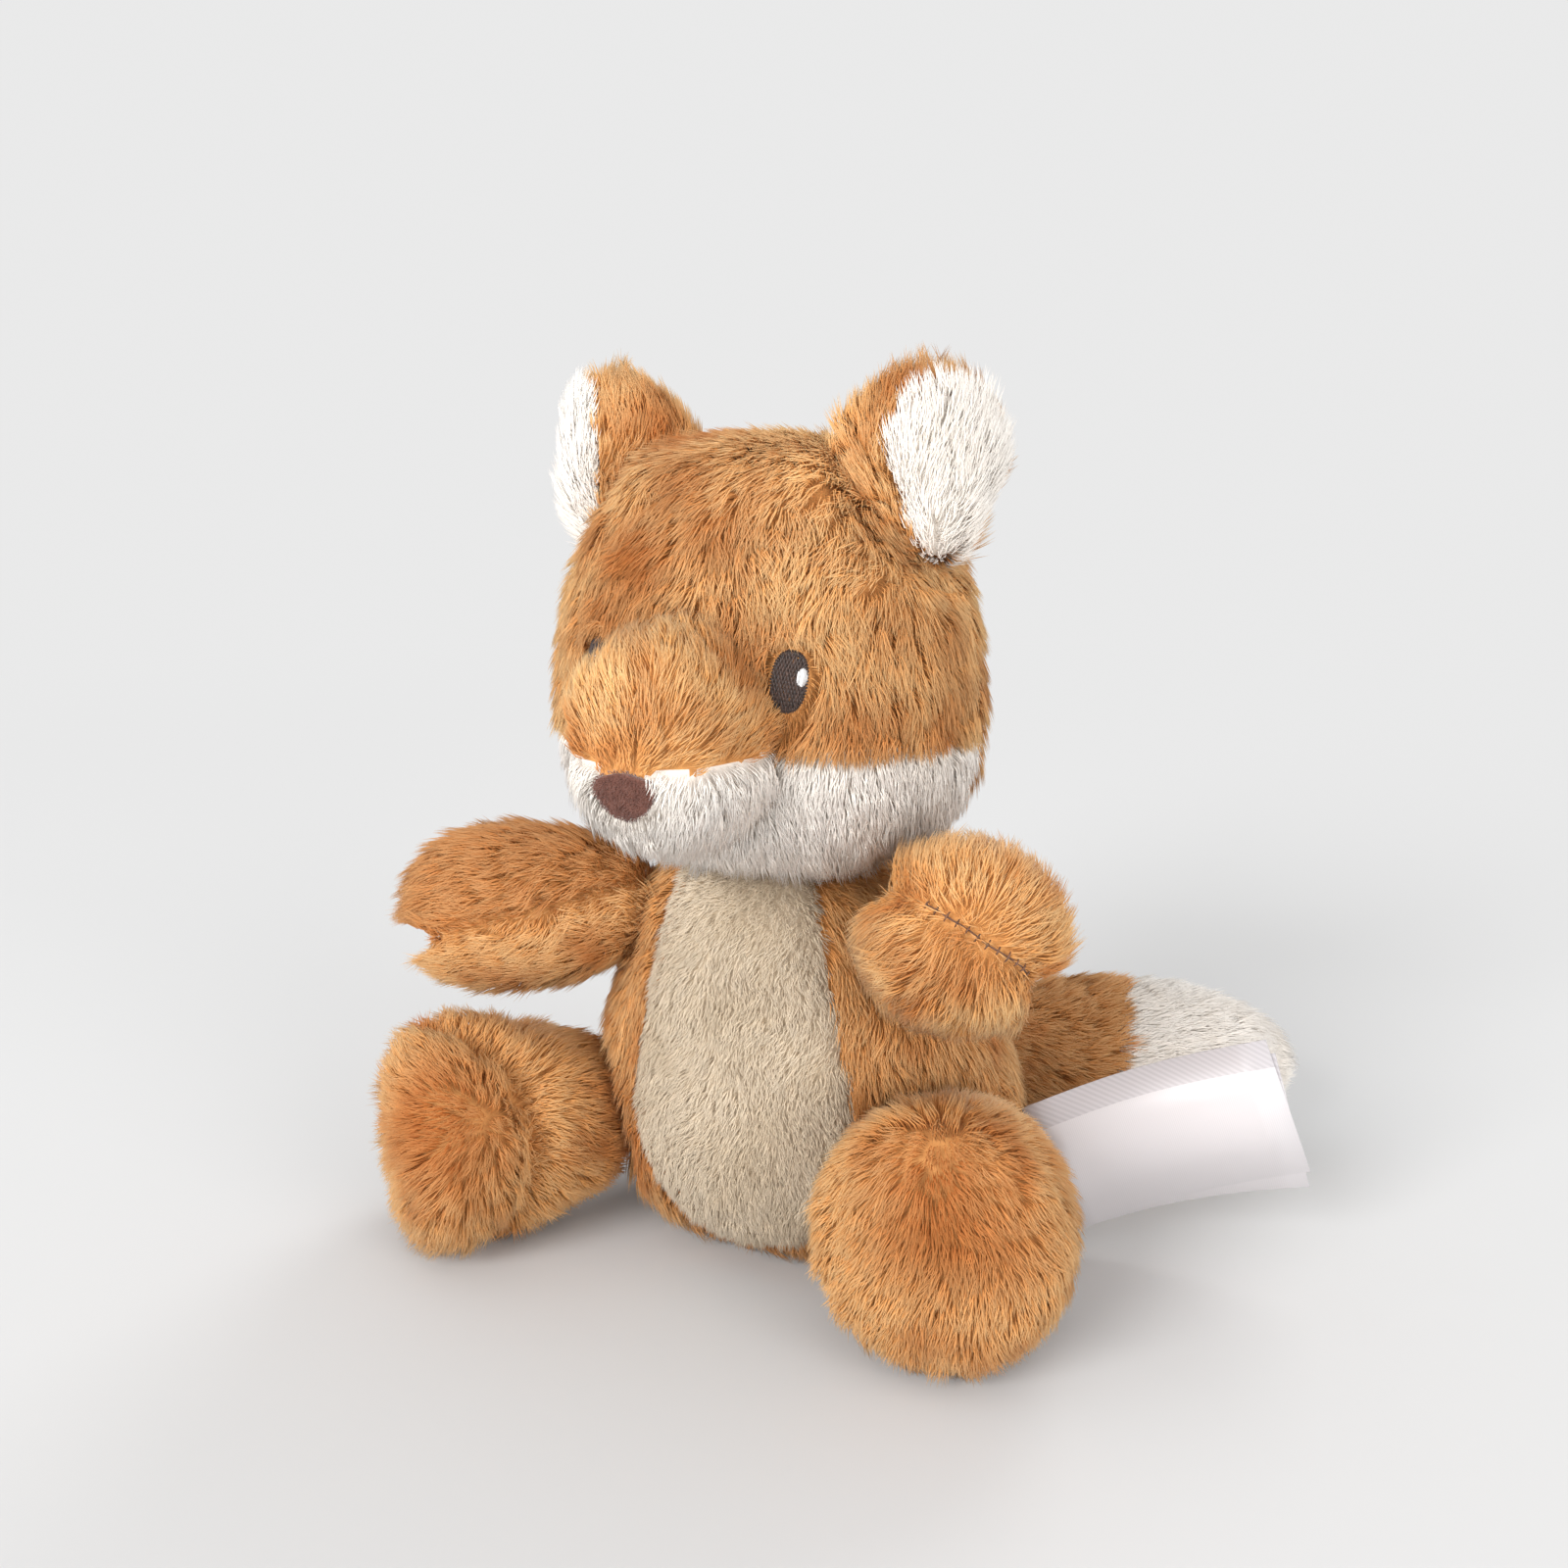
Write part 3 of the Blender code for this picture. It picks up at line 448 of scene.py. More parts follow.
THREADS = {
    "eye": ThreadFinish("eye_thread", colour=(0.065, 0.032, 0.022), shade=(0.022, 0.011, 0.008)),
    "rim": ThreadFinish("rim_thread", colour=(0.040, 0.020, 0.014), shade=(0.016, 0.008, 0.006)),
    "glint": ThreadFinish("glint_thread", colour=(0.90, 0.89, 0.88), shade=(0.70, 0.69, 0.69),
                          roughness=0.3),
    "seam": ThreadFinish("seam_thread", colour=(0.16, 0.060, 0.022), shade=(0.07, 0.026, 0.010)),
}
NOSE_SUEDE = SuedeFinish("nose_suede", dark=(0.13, 0.048, 0.034), light=(0.235, 0.098, 0.070))
LABEL_SATIN = SatinFinish("label_satin", face=(0.70, 0.665, 0.675), hem=(0.60, 0.565, 0.58),
                          hem_share=0.80)


class NodeGraph:
    """Nodes that are put together a line at a time."""

    def __init__(self, tree: bpy.types.NodeTree) -> None:
        """Work on a tree of nodes."""
        self.nodes, self.links = tree.nodes, tree.links

    def feed(self, socket: Socket, value: object) -> None:
        """Link a socket to a socket, or set its value.

        Args:
            socket: The socket that is fed.
            value: Another node's socket, or a plain value.
        """
        if isinstance(value, Socket):
            self.links.new(value, socket)
        elif socket.type == "RGBA":
            socket.default_value = (*value, 1.0)
        else:
            socket.default_value = value

    def add(self, kind: str, inputs: dict | None = None, **settings: object) -> bpy.types.Node:
        """Add a node, set its options and feed its inputs.

        Args:
            kind: The node's type.
            inputs: What each input is fed, by its name or number.
            settings: The node's options.

        Returns:
            The node.
        """
        node = self.nodes.new(kind)
        for key, value in settings.items():
            setattr(node, key, value)
        for key, value in (inputs or {}).items():
            self.feed(node.inputs[key], value)
        return node

    def number(self, operation: str, *values: object) -> Socket:
        """One step of arithmetic on numbers."""
        return self.add("ShaderNodeMath", dict(enumerate(values)), operation=operation).outputs[0]

    def times(self, one: object, other: object) -> Socket:
        """The product of two numbers."""
        return self.number("MULTIPLY", one, other)

    def seen(self) -> Socket:
        """1 for what the camera sees, also in a reflection or through glass, and 0 for other light."""
        path = self.add("ShaderNodeLightPath").outputs
        first = self.number("MAXIMUM", path["Is Camera Ray"], path["Is Glossy Ray"])
        return self.number("MAXIMUM", first, path["Is Transmission Ray"])

    def blend(self, factor: Socket, low: Socket, high: Socket, output: str) -> None:
        """Blend two shaders into the tree's output."""
        both = self.add("ShaderNodeMixShader", {0: factor, 1: low, 2: high})
        self.feed(self.nodes[output].inputs["Surface"], both.outputs[0])


class ShaderTree(NodeGraph):
    """A material that is put together a line at a time."""

    def __init__(self, name: str) -> None:
        """Start a material with its shader.

        Args:
            name: The material's name.
        """
        self.material = bpy.data.materials.new(name)
        self.material.use_nodes = True
        super().__init__(self.material.node_tree)
        self.shader = self.nodes["Principled BSDF"]

    def set(self, values: dict[str, object]) -> None:
        """Set or link sockets of the shader."""
        for name, value in values.items():
            self.feed(self.shader.inputs[name], value)

    def attribute(self, name: str) -> Socket:
        """Read one number of the mesh."""
        return self.add("ShaderNodeAttribute", attribute_name=name).outputs["Fac"]

    def noise(self, scale: float, detail: float) -> Socket:
        """Noise on Object coordinates, with the scale in cycles a metre."""
        place = self.add("ShaderNodeTexCoord").outputs["Object"]
        inputs = {"Scale": scale, "Detail": detail, "Vector": place}
        return self.add("ShaderNodeTexNoise", inputs).outputs["Fac"]

    def ribs(self, direction: str, scale: float, distortion: float = 0.0) -> Socket:
        """Fine ribs on the ribbon's own map, which is in metres along it and up it."""
        place = self.add("ShaderNodeUVMap", uv_map=RIBBON_MAP).outputs["UV"]
        inputs = {"Scale": scale, "Distortion": distortion, "Vector": place}
        return self.add("ShaderNodeTexWave", inputs, bands_direction=direction).outputs["Fac"]

    def ramp(self, factor: Socket, stops: tuple) -> Socket:
        """A colour ramp.

        Args:
            factor: What picks the colour.
            stops: Pairs of a place from 0 to 1 and a linear colour.

        Returns:
            The colour's socket.
        """
        node = self.add("ShaderNodeValToRGB", {"Fac": factor})
        elements = node.color_ramp.elements
        while len(elements) < len(stops):
            elements.new(0.5)
        for element, (place, colour) in zip(elements, stops):
            element.position = place
            element.color = (*colour, 1.0)
        return node.outputs["Color"]

    def mix(self, factor: object, low: object, high: object, kind: str = "MIX") -> Socket:
        """Blend from one colour to another by the factor."""
        inputs = {"Factor": factor, 6: low, 7: high}
        return self.add("ShaderNodeMix", inputs, data_type="RGBA", blend_type=kind).outputs[2]

    def tinted(self, colour: object, value: object) -> Socket:
        """The colour times a brightness."""
        return self.mix(1.0, colour, value, "MULTIPLY")

    def most(self, one: Socket, other: Socket) -> Socket:
        """The larger of two values, from 0 to 1."""
        both = self.add("ShaderNodeMath", {0: one, 1: other}, operation="MAXIMUM", use_clamp=True)
        return both.outputs[0]

    def range(self, value: Socket, low: float, high: float) -> Socket:
        """Stretch a value from 0 to 1 over low to high."""
        inputs = {"To Min": low, "To Max": high, "Value": value}
        return self.add("ShaderNodeMapRange", inputs).outputs["Result"]

    def bump(self, height: Socket, strength: float, distance: float) -> None:
        """Raise the surface by a height."""
        node = self.add("ShaderNodeBump", {"Strength": strength, "Distance": distance, "Height": height})
        self.set({"Normal": node.outputs["Normal"]})


class GeometryTree(NodeGraph):
    """A geometry tree that is put together a line at a time."""

    def __init__(self, name: str, **inputs: str) -> None:
        """Start a tree.

        Args:
            name: The tree's name.
            inputs: The socket types of its named inputs, without the NodeSocket prefix.
        """
        self.group = bpy.data.node_groups.new(name, "GeometryNodeTree")
        super().__init__(self.group)
        self._socket("geometry", "Geometry", "OUTPUT")
        for label, kind in {"geometry": "Geometry", **inputs}.items():
            self._socket(label, kind, "INPUT")
        entry = self.nodes.new("NodeGroupInput")
        self.exit = self.nodes.new("NodeGroupOutput")
        self.geometry, *self.given = entry.outputs[:len(inputs) + 1]

    def _socket(self, name: str, kind: str, way: str) -> None:
        """Add a named socket to the tree's interface."""
        self.group.interface.new_socket(name, in_out=way, socket_type="NodeSocket" + kind)

    def vector(self, operation: str, *values: object) -> Socket:
        """One step of arithmetic on vectors."""
        node = self.add("ShaderNodeVectorMath", dict(enumerate(values)), operation=operation)
        return node.outputs["Value" if operation in ("LENGTH", "DOT_PRODUCT") else "Vector"]

    def scaled(self, value: object, factor: object) -> Socket:
        """A vector times a number."""
        inputs = {0: value, "Scale": factor}
        return self.add("ShaderNodeVectorMath", inputs, operation="SCALE").outputs["Vector"]

    def joined(self, x: object, y: object, z: object) -> Socket:
        """A vector from its three numbers."""
        return self.add("ShaderNodeCombineXYZ", {0: x, 1: y, 2: z}).outputs[0]

    def read(self, name: str, kind: str = "FLOAT") -> Socket:
        """A named attribute of the geometry."""
        return self.add("GeometryNodeInputNamedAttribute", {"Name": name}, data_type=kind).outputs[0]

    def store(self, geometry: object, name: str, value: object, kind: str = "FLOAT",
              domain: str = "POINT") -> Socket:
        """Keep a value on the geometry under a name."""
        inputs = {"Geometry": geometry, "Name": name, "Value": value}
        kept = self.add("GeometryNodeStoreNamedAttribute", inputs, data_type=kind, domain=domain)
        return kept.outputs[0]

    def random(self, low: float, high: float, seed: object) -> Socket:
        """A random number for each element."""
        node = self.add("FunctionNodeRandomValue", {2: low, 3: high, "Seed": seed}, data_type="FLOAT")
        return node.outputs[1]

    def aimed(self, along: Socket) -> Socket:
        """A rotation that lays Z along a way."""
        return self.add("FunctionNodeAlignRotationToVector", {"Vector": along}, axis="Z").outputs[0]

    def laid(self, along: Socket, out: Socket) -> Socket:
        """A rotation that lays Z along a way and X outwards."""
        inputs = {"Rotation": self.aimed(along), "Vector": out}
        return self.add("FunctionNodeAlignRotationToVector", inputs, axis="X", pivot_axis="Z").outputs[0]

    def repeated(self, points: Socket, thing: Socket, turn: Socket, size: Socket) -> Socket:
        """Copies of an object on points, made real.

        Args:
            points: The points.
            thing: The object.
            turn: Each copy's rotation.
            size: Each copy's scale.

        Returns:
            The copies as one geometry.
        """
        shape = self.add("GeometryNodeObjectInfo", {"Object": thing}).outputs["Geometry"]
        copies = self.add("GeometryNodeInstanceOnPoints", {"Points": points, "Instance": shape,
                                                           "Rotation": turn, "Scale": size}).outputs[0]
        return self.add("GeometryNodeRealizeInstances", {"Geometry": copies}).outputs[0]

    def smooth(self, geometry: Socket) -> Socket:
        """The geometry, shaded smooth."""
        return self.add("GeometryNodeSetShadeSmooth", {"Geometry": geometry}).outputs[0]

    def finish(self, geometry: Socket, material: Socket) -> None:
        """Give the result its material and end the tree."""
        dressed = self.add("GeometryNodeSetMaterial", {"Geometry": geometry, "Material": material})
        self.feed(self.exit.inputs[0], dressed.outputs[0])

    def on(self, thing: Thing, values: tuple, helpers: tuple[str, ...]) -> Mesh:
        """Run the tree on an object, which is then taken away.

        Args:
            thing: The object that the tree reads.
            values: What each named input is set to, in their order.
            helpers: The attributes that the result doesn't keep.

        Returns:
            The result as a plain mesh.
        """
        change = thing.modifiers.new(self.group.name, "NODES")
        change.node_group = self.group
        sockets = [item for item in self.group.interface.items_tree if item.in_out == "INPUT"]
        for item, value in zip(sockets[1:], values):
            change[item.identifier] = value
        mesh = evaluated_mesh(thing)
        thing.modifiers.remove(change)
        remove(thing)
        for name in helpers:
            if name in mesh.attributes:
                mesh.attributes.remove(mesh.attributes[name])
        return mesh


def evaluated_mesh(thing: Thing) -> Mesh:
    """A plain copy of an object's mesh after its modifiers.

    Args:
        thing: The object.

    Returns:
        The mesh.
    """
    bpy.context.view_layer.update()
    graph = bpy.context.evaluated_depsgraph_get()
    return bpy.data.meshes.new_from_object(thing.evaluated_get(graph), depsgraph=graph)


def new_object(name: str, data: bpy.types.ID, hidden: bool = False) -> Thing:
    """A new object at the origin of the scene.

    Args:
        name: Its name.
        data: What it shows.
        hidden: Whether renders leave it out.

    Returns:
        The object.
    """
    thing = bpy.data.objects.new(name, data)
    bpy.context.scene.collection.objects.link(thing)
    thing.hide_render = hidden
    return thing


def remove(thing: Thing) -> None:
    """Take a helper away with its mesh."""
    mesh = thing.data
    bpy.data.objects.remove(thing, do_unlink=True)
    if mesh.users == 0:
        bpy.data.meshes.remove(mesh)


def hand_over(piece: Thing, body: str, slot: str, *nodes: str) -> None:
    """Report a finished piece.

    Args:
        piece: The piece.
        body: The body that it rides on.
        slot: Not used.
        nodes: The CAD nodes that it replaces.
    """
    if nodes:
        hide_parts(*nodes)
    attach(piece, body)
    log.info("%s: %d faces", piece.name, len(piece.data.polygons))


def places_of(mesh: Mesh) -> Array:
    """The mesh's points, one a row."""
    places = np.empty(len(mesh.vertices) * 3)
    mesh.vertices.foreach_get("co", places)
    return places.reshape(-1, 3)


def normals_of(mesh: Mesh) -> Array:
    """The mesh's point normals, one a row."""
    normals = np.empty(len(mesh.vertices) * 3)
    mesh.vertex_normals.foreach_get("vector", normals)
    return normals.reshape(-1, 3)


def set_places(mesh: Mesh, places: Array) -> None:
    """Move the mesh's points."""
    mesh.vertices.foreach_set("co", places.astype(np.float32).ravel())
    mesh.update()


def relaxed(values: Array, edges: Array, rounds: int, share: float = 0.5) -> Array:
    """Even out values over a mesh, each towards its neighbours' mean.

    Args:
        values: One row a point.
        edges: Pairs of point numbers.
        rounds: How often.
        share: How far towards the mean each time.

    Returns:
        The evened values.
    """
    even = values.reshape(len(values), -1).astype(float)
    count = np.maximum(np.bincount(edges.ravel(), minlength=len(even)), 1)[:, None]
    for _ in range(rounds):
        total = np.zeros_like(even)
        np.add.at(total, edges[:, 0], even[edges[:, 1]])
        np.add.at(total, edges[:, 1], even[edges[:, 0]])
        even = even * (1 - share) + total / count * share
    return even.reshape(values.shape)


def smooth_step(values: Array, low: float, high: float) -> Array:
    """0 under low, 1 over high, and a smooth rise between."""
    share = np.clip((values - low) / (high - low), 0, 1)
    return share * share * (3 - 2 * share)


def unit(ways: Array) -> Array:
    """Each row at unit length, or nothing where it is nothing."""
    return ways / np.maximum(np.linalg.norm(ways, axis=1), 1e-9)[:, None]


def set_attributes(mesh: Mesh, **values: Array) -> None:
    """Store numbers or vectors for the points of a mesh.

    Args:
        mesh: The mesh.
        values: One row a point, each under its name.
    """
    for name, rows in values.items():
        kind, part = ("FLOAT", "value") if rows.ndim == 1 else (VECTOR, "vector")
        made = mesh.attributes.new(name, kind, "POINT")
        made.data.foreach_set(part, rows.astype(np.float32).ravel())


def tree_data(mesh: Mesh) -> tuple[list, list]:
    """A mesh's points and faces."""
    return [v.co.copy() for v in mesh.vertices], [tuple(p.vertices) for p in mesh.polygons]


def joined_tree(meshes: list) -> BVHTree:
    """One search tree of several surfaces.

    Args:
        meshes: Each surface's points and faces.

    Returns:
        The tree.
    """
    points: list = []
    faces: list = []
    for corners, polygons in meshes:
        start = len(points)
        points += corners
        faces += [tuple(start + k for k in face) for face in polygons]
    return BVHTree.FromPolygons(points, faces)


def pivot(name: str) -> Vector:
    """The point that a joint turns about."""
    return Vector(next(each for each in frame["joints"] if each["name"] == name)["pos_m"])


def middle(node: str) -> Vector:
    """The middle of a CAD node's box."""
    low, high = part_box(node)
    return (low + high) / 2


def shared_edges(mesh: Mesh, owners: Array) -> list[tuple[int, int]]:
    """The edges between two panels.

    Args:
        mesh: The form's mesh.
        owners: The panel of each face.

    Returns:
        Pairs of point numbers.
    """
    faces_of: dict = {}
    for face, owner in zip(mesh.polygons, owners):
        for key in face.edge_keys:
            faces_of.setdefault(key, set()).add(int(owner))
    return [key for key, found in faces_of.items() if len(found) > 1]


def as_mesh(shape: bmesh.types.BMesh, name: str) -> Mesh:
    """The finished shape as a mesh.

    Args:
        shape: The shape, which is freed.
        name: The mesh's name.

    Returns:
        The mesh.
    """
    mesh = bpy.data.meshes.new(name)
    shape.to_mesh(mesh)
    shape.free()
    return mesh


def welded(*nodes: str) -> bmesh.types.BMesh:
    """CAD nodes as one shape with their loose triangles joined up.

    Args:
        nodes: The nodes' names.

    Returns:
        The shape.
    """
    shape = bmesh.new()
    for node in nodes:
        shape.from_mesh(frame["nodes"][node].data)
    bmesh.ops.remove_doubles(shape, verts=shape.verts, dist=WELD)
    return shape


def capped(name: str, rings: list[list], ends: tuple) -> Mesh:
    """A closed skin through rings of points.

    Args:
        name: The mesh's name.
        rings: Rings of equally many points.
        ends: The points that the first and the last ring are drawn in to.

    Returns:
        The mesh, with its faces outward.
    """
    shape = bmesh.new()
    loops = [[shape.verts.new(point) for point in ring] for ring in rings]
    for low, high in zip(loops, loops[1:]):
        for k in range(len(low)):
            shape.faces.new((low[k - 1], low[k], high[k], high[k - 1]))
    for ring, end in zip((loops[0], loops[-1]), ends):
        point = shape.verts.new(end)
        for k in range(len(ring)):
            shape.faces.new((ring[k - 1], ring[k], point))
    bmesh.ops.recalc_face_normals(shape, faces=shape.faces)
    return as_mesh(shape, name)


def hair_mesh() -> Mesh:
    """One closed hair of unit length, widest in its middle, with its own map and its place along."""
    turns = (0, 2 * math.pi / 3, 4 * math.pi / 3)
    rim = [(math.cos(turn) / 2, math.sin(turn) / 2, 0.5) for turn in turns]
    mesh = capped("hair", [rim], (STILL, UP))
    across = (0.0, 0.5, 1.0, 0.5, 0.5)
    for corner, place in zip(mesh.loops, mesh.uv_layers.new(name=BAKE_MAP).data):
        place.uv = (across[corner.vertex_index], mesh.vertices[corner.vertex_index].co.z)
    set_attributes(mesh, along=places_of(mesh)[:, 2])
    return mesh


def thread_mesh() -> Mesh:
    """One stitch of unit length: a closed arched thread with tapered ends, lying along Z, bowed to X."""
    rings = []
    for along, thick in ((-0.42, 0.36), (-0.22, 0.5), (0.0, 0.52), (0.22, 0.5), (0.42, 0.36)):
        rise = 1.0 - (along / 0.5) ** 2
        rings.append([(math.cos(k * math.pi / 3) * thick + rise, math.sin(k * math.pi / 3) * thick, along)
                      for k in range(6)])
    return capped("thread", rings, ((-0.3, 0, -0.5), (-0.3, 0, 0.5)))


class PileTree:
    """A node tree that grows a clumped pile on a panel."""

    def __init__(self) -> None:
        """Build the tree and the hair that it repeats."""
        self.hair = new_object("hair", hair_mesh(), hidden=True)
        self.tree = GeometryTree(
            "pile", hair="Object", spacing="Float", length="Float", width="Float", rise="Float",
            droop="Float", clump_spacing="Float", clump_pull="Float", swirl="Float", stray="Float",
            pole="Vector", away="Float", comb="Vector", floor="Float", seed="Int", evenness="Float",
            finish="Material")
        self._build(self.tree)

    def _build(self, t: GeometryTree) -> None:
        """Scatter hairs, lean them along the flow and draw them into clumps.

        Args:
            t: The tree.
        """
        (hair, spacing, length, width, rise, droop, clump_spacing, clump_pull, swirl, stray,
         pole, away, comb, floor, seed, evenness, finish) = t.given

        crowd = t.times(t.number("DIVIDE", 1.0, t.times(spacing, spacing)), ROOT_CROWD)
        roots = self._strewn(t, t.times(spacing, ROOT_GAP), crowd, t.read("cover"), seed)
        crowd = t.number("DIVIDE", CLUMP_CROWD, t.times(clump_spacing, clump_spacing))
        clumps = self._strewn(t, t.times(clump_spacing, CLUMP_GAP), crowd, 1.0,
                              t.number("ADD", seed, CLUMP_SEED))

        place = t.add("GeometryNodeInputPosition").outputs[0]
        nearest = t.add("GeometryNodeSampleNearest", {"Geometry": clumps.outputs["Points"],
                                                      "Sample Position": place}).outputs[0]

        def of_clump(value: Socket, kind: str = "FLOAT") -> Socket:
            """What a value is at the nearest clump."""
            inputs = {"Geometry": clumps.outputs["Points"], "Value": value, "Index": nearest}
            return t.add("GeometryNodeSampleIndex", inputs, data_type=kind).outputs[0]

        centre = of_clump(place, VECTOR)
        clump_size = of_clump(t.random(*CLUMP_SIZES, 3))
        clump_turn = of_clump(t.random(-1.0, 1.0, 5))
        clump_tone = of_clump(t.random(0.0, 1.0, 7))

        normal = roots.outputs["Normal"]
        outward = t.vector("NORMALIZE", t.vector("SUBTRACT", centre, pole))
        lie = t.vector("ADD", t.vector("ADD", t.scaled(outward, away), comb), t.read("parting", VECTOR))
        noise = t.add("ShaderNodeTexNoise", {"Vector": centre, "Scale": WAVE_SCALE,
                                            "Detail": 1.0}).outputs[0]
        wave = t.times(t.number("SUBTRACT", noise, 0.5), WAVE_TURN)
        wave = t.number("ADD", wave, t.times(clump_turn, CLUMP_TURN))
        turn = t.number("ADD", t.times(wave, swirl), t.times(t.random(-1.0, 1.0, 19), stray))
        turned = t.add("ShaderNodeVectorRotate", {"Vector": self._level(t, lie, normal), "Axis": normal,
                                                  "Angle": turn}).outputs[0]

        reach = t.times(length, t.times(t.read("room"), clump_size))
        half = t.times(t.times(reach, t.random(*HAIR_SIZES, 11)), 0.5)
        bent = self._bent(t, normal, turned, half, rise)
        end = t.vector("ADD", bent, self._bent(t, normal, turned, half, droop))
        to_centre = t.vector("SUBTRACT", centre, place)
        far = t.number("MAXIMUM", t.vector("LENGTH", to_centre), 0.00001)
        near = t.number("MINIMUM", 1.0, t.number("DIVIDE", clump_spacing, far))
        gather = t.scaled(to_centre, t.times(clump_pull, near))
        end = t.vector("ADD", end, gather)
        bent = t.vector("ADD", bent, t.scaled(gather, BEND_SHARE))

        points = roots.outputs["Points"]
        tone = t.add("ShaderNodeMix", {0: CLUMP_TONE, 2: t.random(0.0, 1.0, 13), 3: clump_tone},
                     data_type="FLOAT").outputs[0]
        index = t.add("GeometryNodeInputIndex").outputs[0]
        total = t.add("GeometryNodeAttributeDomainSize", {0: points}, component="POINTCLOUD").outputs[0]
        cells = t.number("CEIL", t.number("SQRT", total))
        row = t.number("FLOOR", t.number("DIVIDE", index, cells))
        cell = t.joined(t.number("MODULO", index, cells), row, cells)
        thick = t.times(width, t.random(*HAIR_WIDTHS, 17))
        points = t.store(points, "tone", tone)
        points = t.store(points, "bow", t.vector("SUBTRACT", bent, t.scaled(end, 0.5)), VECTOR)
        points = t.store(points, "cell", cell, VECTOR)
        points = t.store(points, "out", normal, VECTOR)
        size = t.joined(thick, thick, t.vector("LENGTH", end))
        real = t.repeated(points, hair, t.aimed(end), size)

        own = t.add("GeometryNodeInputNormal").outputs[0]
        shared = t.vector("ADD", own, t.scaled(t.read("out", VECTOR), evenness))
        along = t.read("along")
        arch = t.times(t.times(along, 4.0), t.number("SUBTRACT", 1.0, along))
        curved = t.add("GeometryNodeSetPosition", {
            "Geometry": real, "Offset": t.scaled(t.read("bow", VECTOR), arch)}).outputs[0]
        x, y, z = t.add("ShaderNodeSeparateXYZ", {0: place}).outputs
        held = t.joined(x, y, t.number("MAXIMUM", z, floor))
        curved = t.add("GeometryNodeSetPosition", {"Geometry": curved, "Position": held}).outputs[0]
        curved = t.store(curved, BAKE_MAP, self._map(t), "FLOAT2", "CORNER")
        soft = t.add("GeometryNodeSetMeshNormal", {"Mesh": t.smooth(curved), "Custom Normal": shared},
                     mode="FREE", domain="POINT").outputs[0]
        t.finish(soft, finish)

    def _strewn(self, t: GeometryTree, apart: Socket, crowd: Socket, cover: object,
                seed: Socket) -> bpy.types.Node:
        """Points strewn over the surface.

        Args:
            t: The tree.
            apart: The least gap between two points.
            crowd: Most points in a square metre.
            cover: What share of them is kept.
            seed: The random seed.

        Returns:
            The node that strews them.
        """
        inputs = {"Mesh": t.geometry, "Distance Min": apart, "Density Max": crowd,
                  "Density Factor": cover, "Seed": seed}
        return t.add("GeometryNodeDistributePointsOnFaces", inputs, distribute_method="POISSON")

    def _level(self, t: GeometryTree, lie: Socket, normal: Socket) -> Socket:
        """The lie laid flat on the surface, at unit length, or less where it has hardly any direction.

        Args:
            t: The tree.
            lie: Which way the pile lies.
            normal: The way out of the surface.

        Returns:
            The level lie.
        """
        out = t.scaled(normal, t.vector("DOT_PRODUCT", lie, normal))
        flat = t.vector("SUBTRACT", lie, out)
        strength = t.number("MINIMUM", 1.0, t.times(t.vector("LENGTH", flat), LEVEL_GAIN))
        return t.scaled(t.vector("NORMALIZE", flat), strength)

    def _bent(self, t: GeometryTree, normal: Socket, lean: Socket, half: Socket, rise: Socket) -> Socket:
        """Half a hair, of which this share of its length goes straight out.

        Args:
            t: The tree.
            normal: The way out of the surface.
            lean: The level way that the hair leans.
            half: Half the hair's length.
            rise: The share that goes straight out.

        Returns:
            From the start of this half to its end.
        """
        flat = t.number("SQRT", t.number("SUBTRACT", 1.0, t.times(rise, rise)))
        way = t.vector("ADD", t.scaled(normal, rise), t.scaled(lean, flat))
        return t.scaled(t.vector("NORMALIZE", way), half)

    def _map(self, t: GeometryTree) -> Socket:
        """Each hair's own square of the bake map.

        Args:
            t: The tree.

        Returns:
            The place on the map for each corner.
        """
        cell = t.add("ShaderNodeSeparateXYZ", {0: t.read("cell", VECTOR)}).outputs
        own = t.add("ShaderNodeSeparateXYZ", {0: t.read(BAKE_MAP, VECTOR)}).outputs
        inner = [t.number("ADD", t.times(own[k], 1 - 2 * MAP_MARGIN), MAP_MARGIN) for k in range(2)]
        u, v = (t.number("DIVIDE", t.number("ADD", cell[k], inner[k]), cell[2]) for k in range(2))
        return t.joined(u, v, 0.0)

    def grow(self, source: Thing, pile: Pile, panel: Panel, finish: Material) -> Mesh:
        """Grow a panel's pile.

        Args:
            source: The panel's surface with its cover, room and parting, which is taken away.
            pile: The fabric's pile.
            panel: The panel.
            finish: The hair's material.

        Returns:
            The pile as one plain mesh.
        """
        flow = panel.flow
        values = (self.hair, pile.spacing, pile.length * panel.length, pile.width, pile.rise, pile.droop,
                  pile.clump_spacing, pile.clump_pull, pile.swirl, pile.stray, tuple(flow.pole), flow.away,
                  tuple(flow.comb), FLOOR_CLEAR, pile.seed, EVENNESS, finish)
        return self.tree.on(source, values, ("bow", "cell", "out", "room", "cover", "parting"))


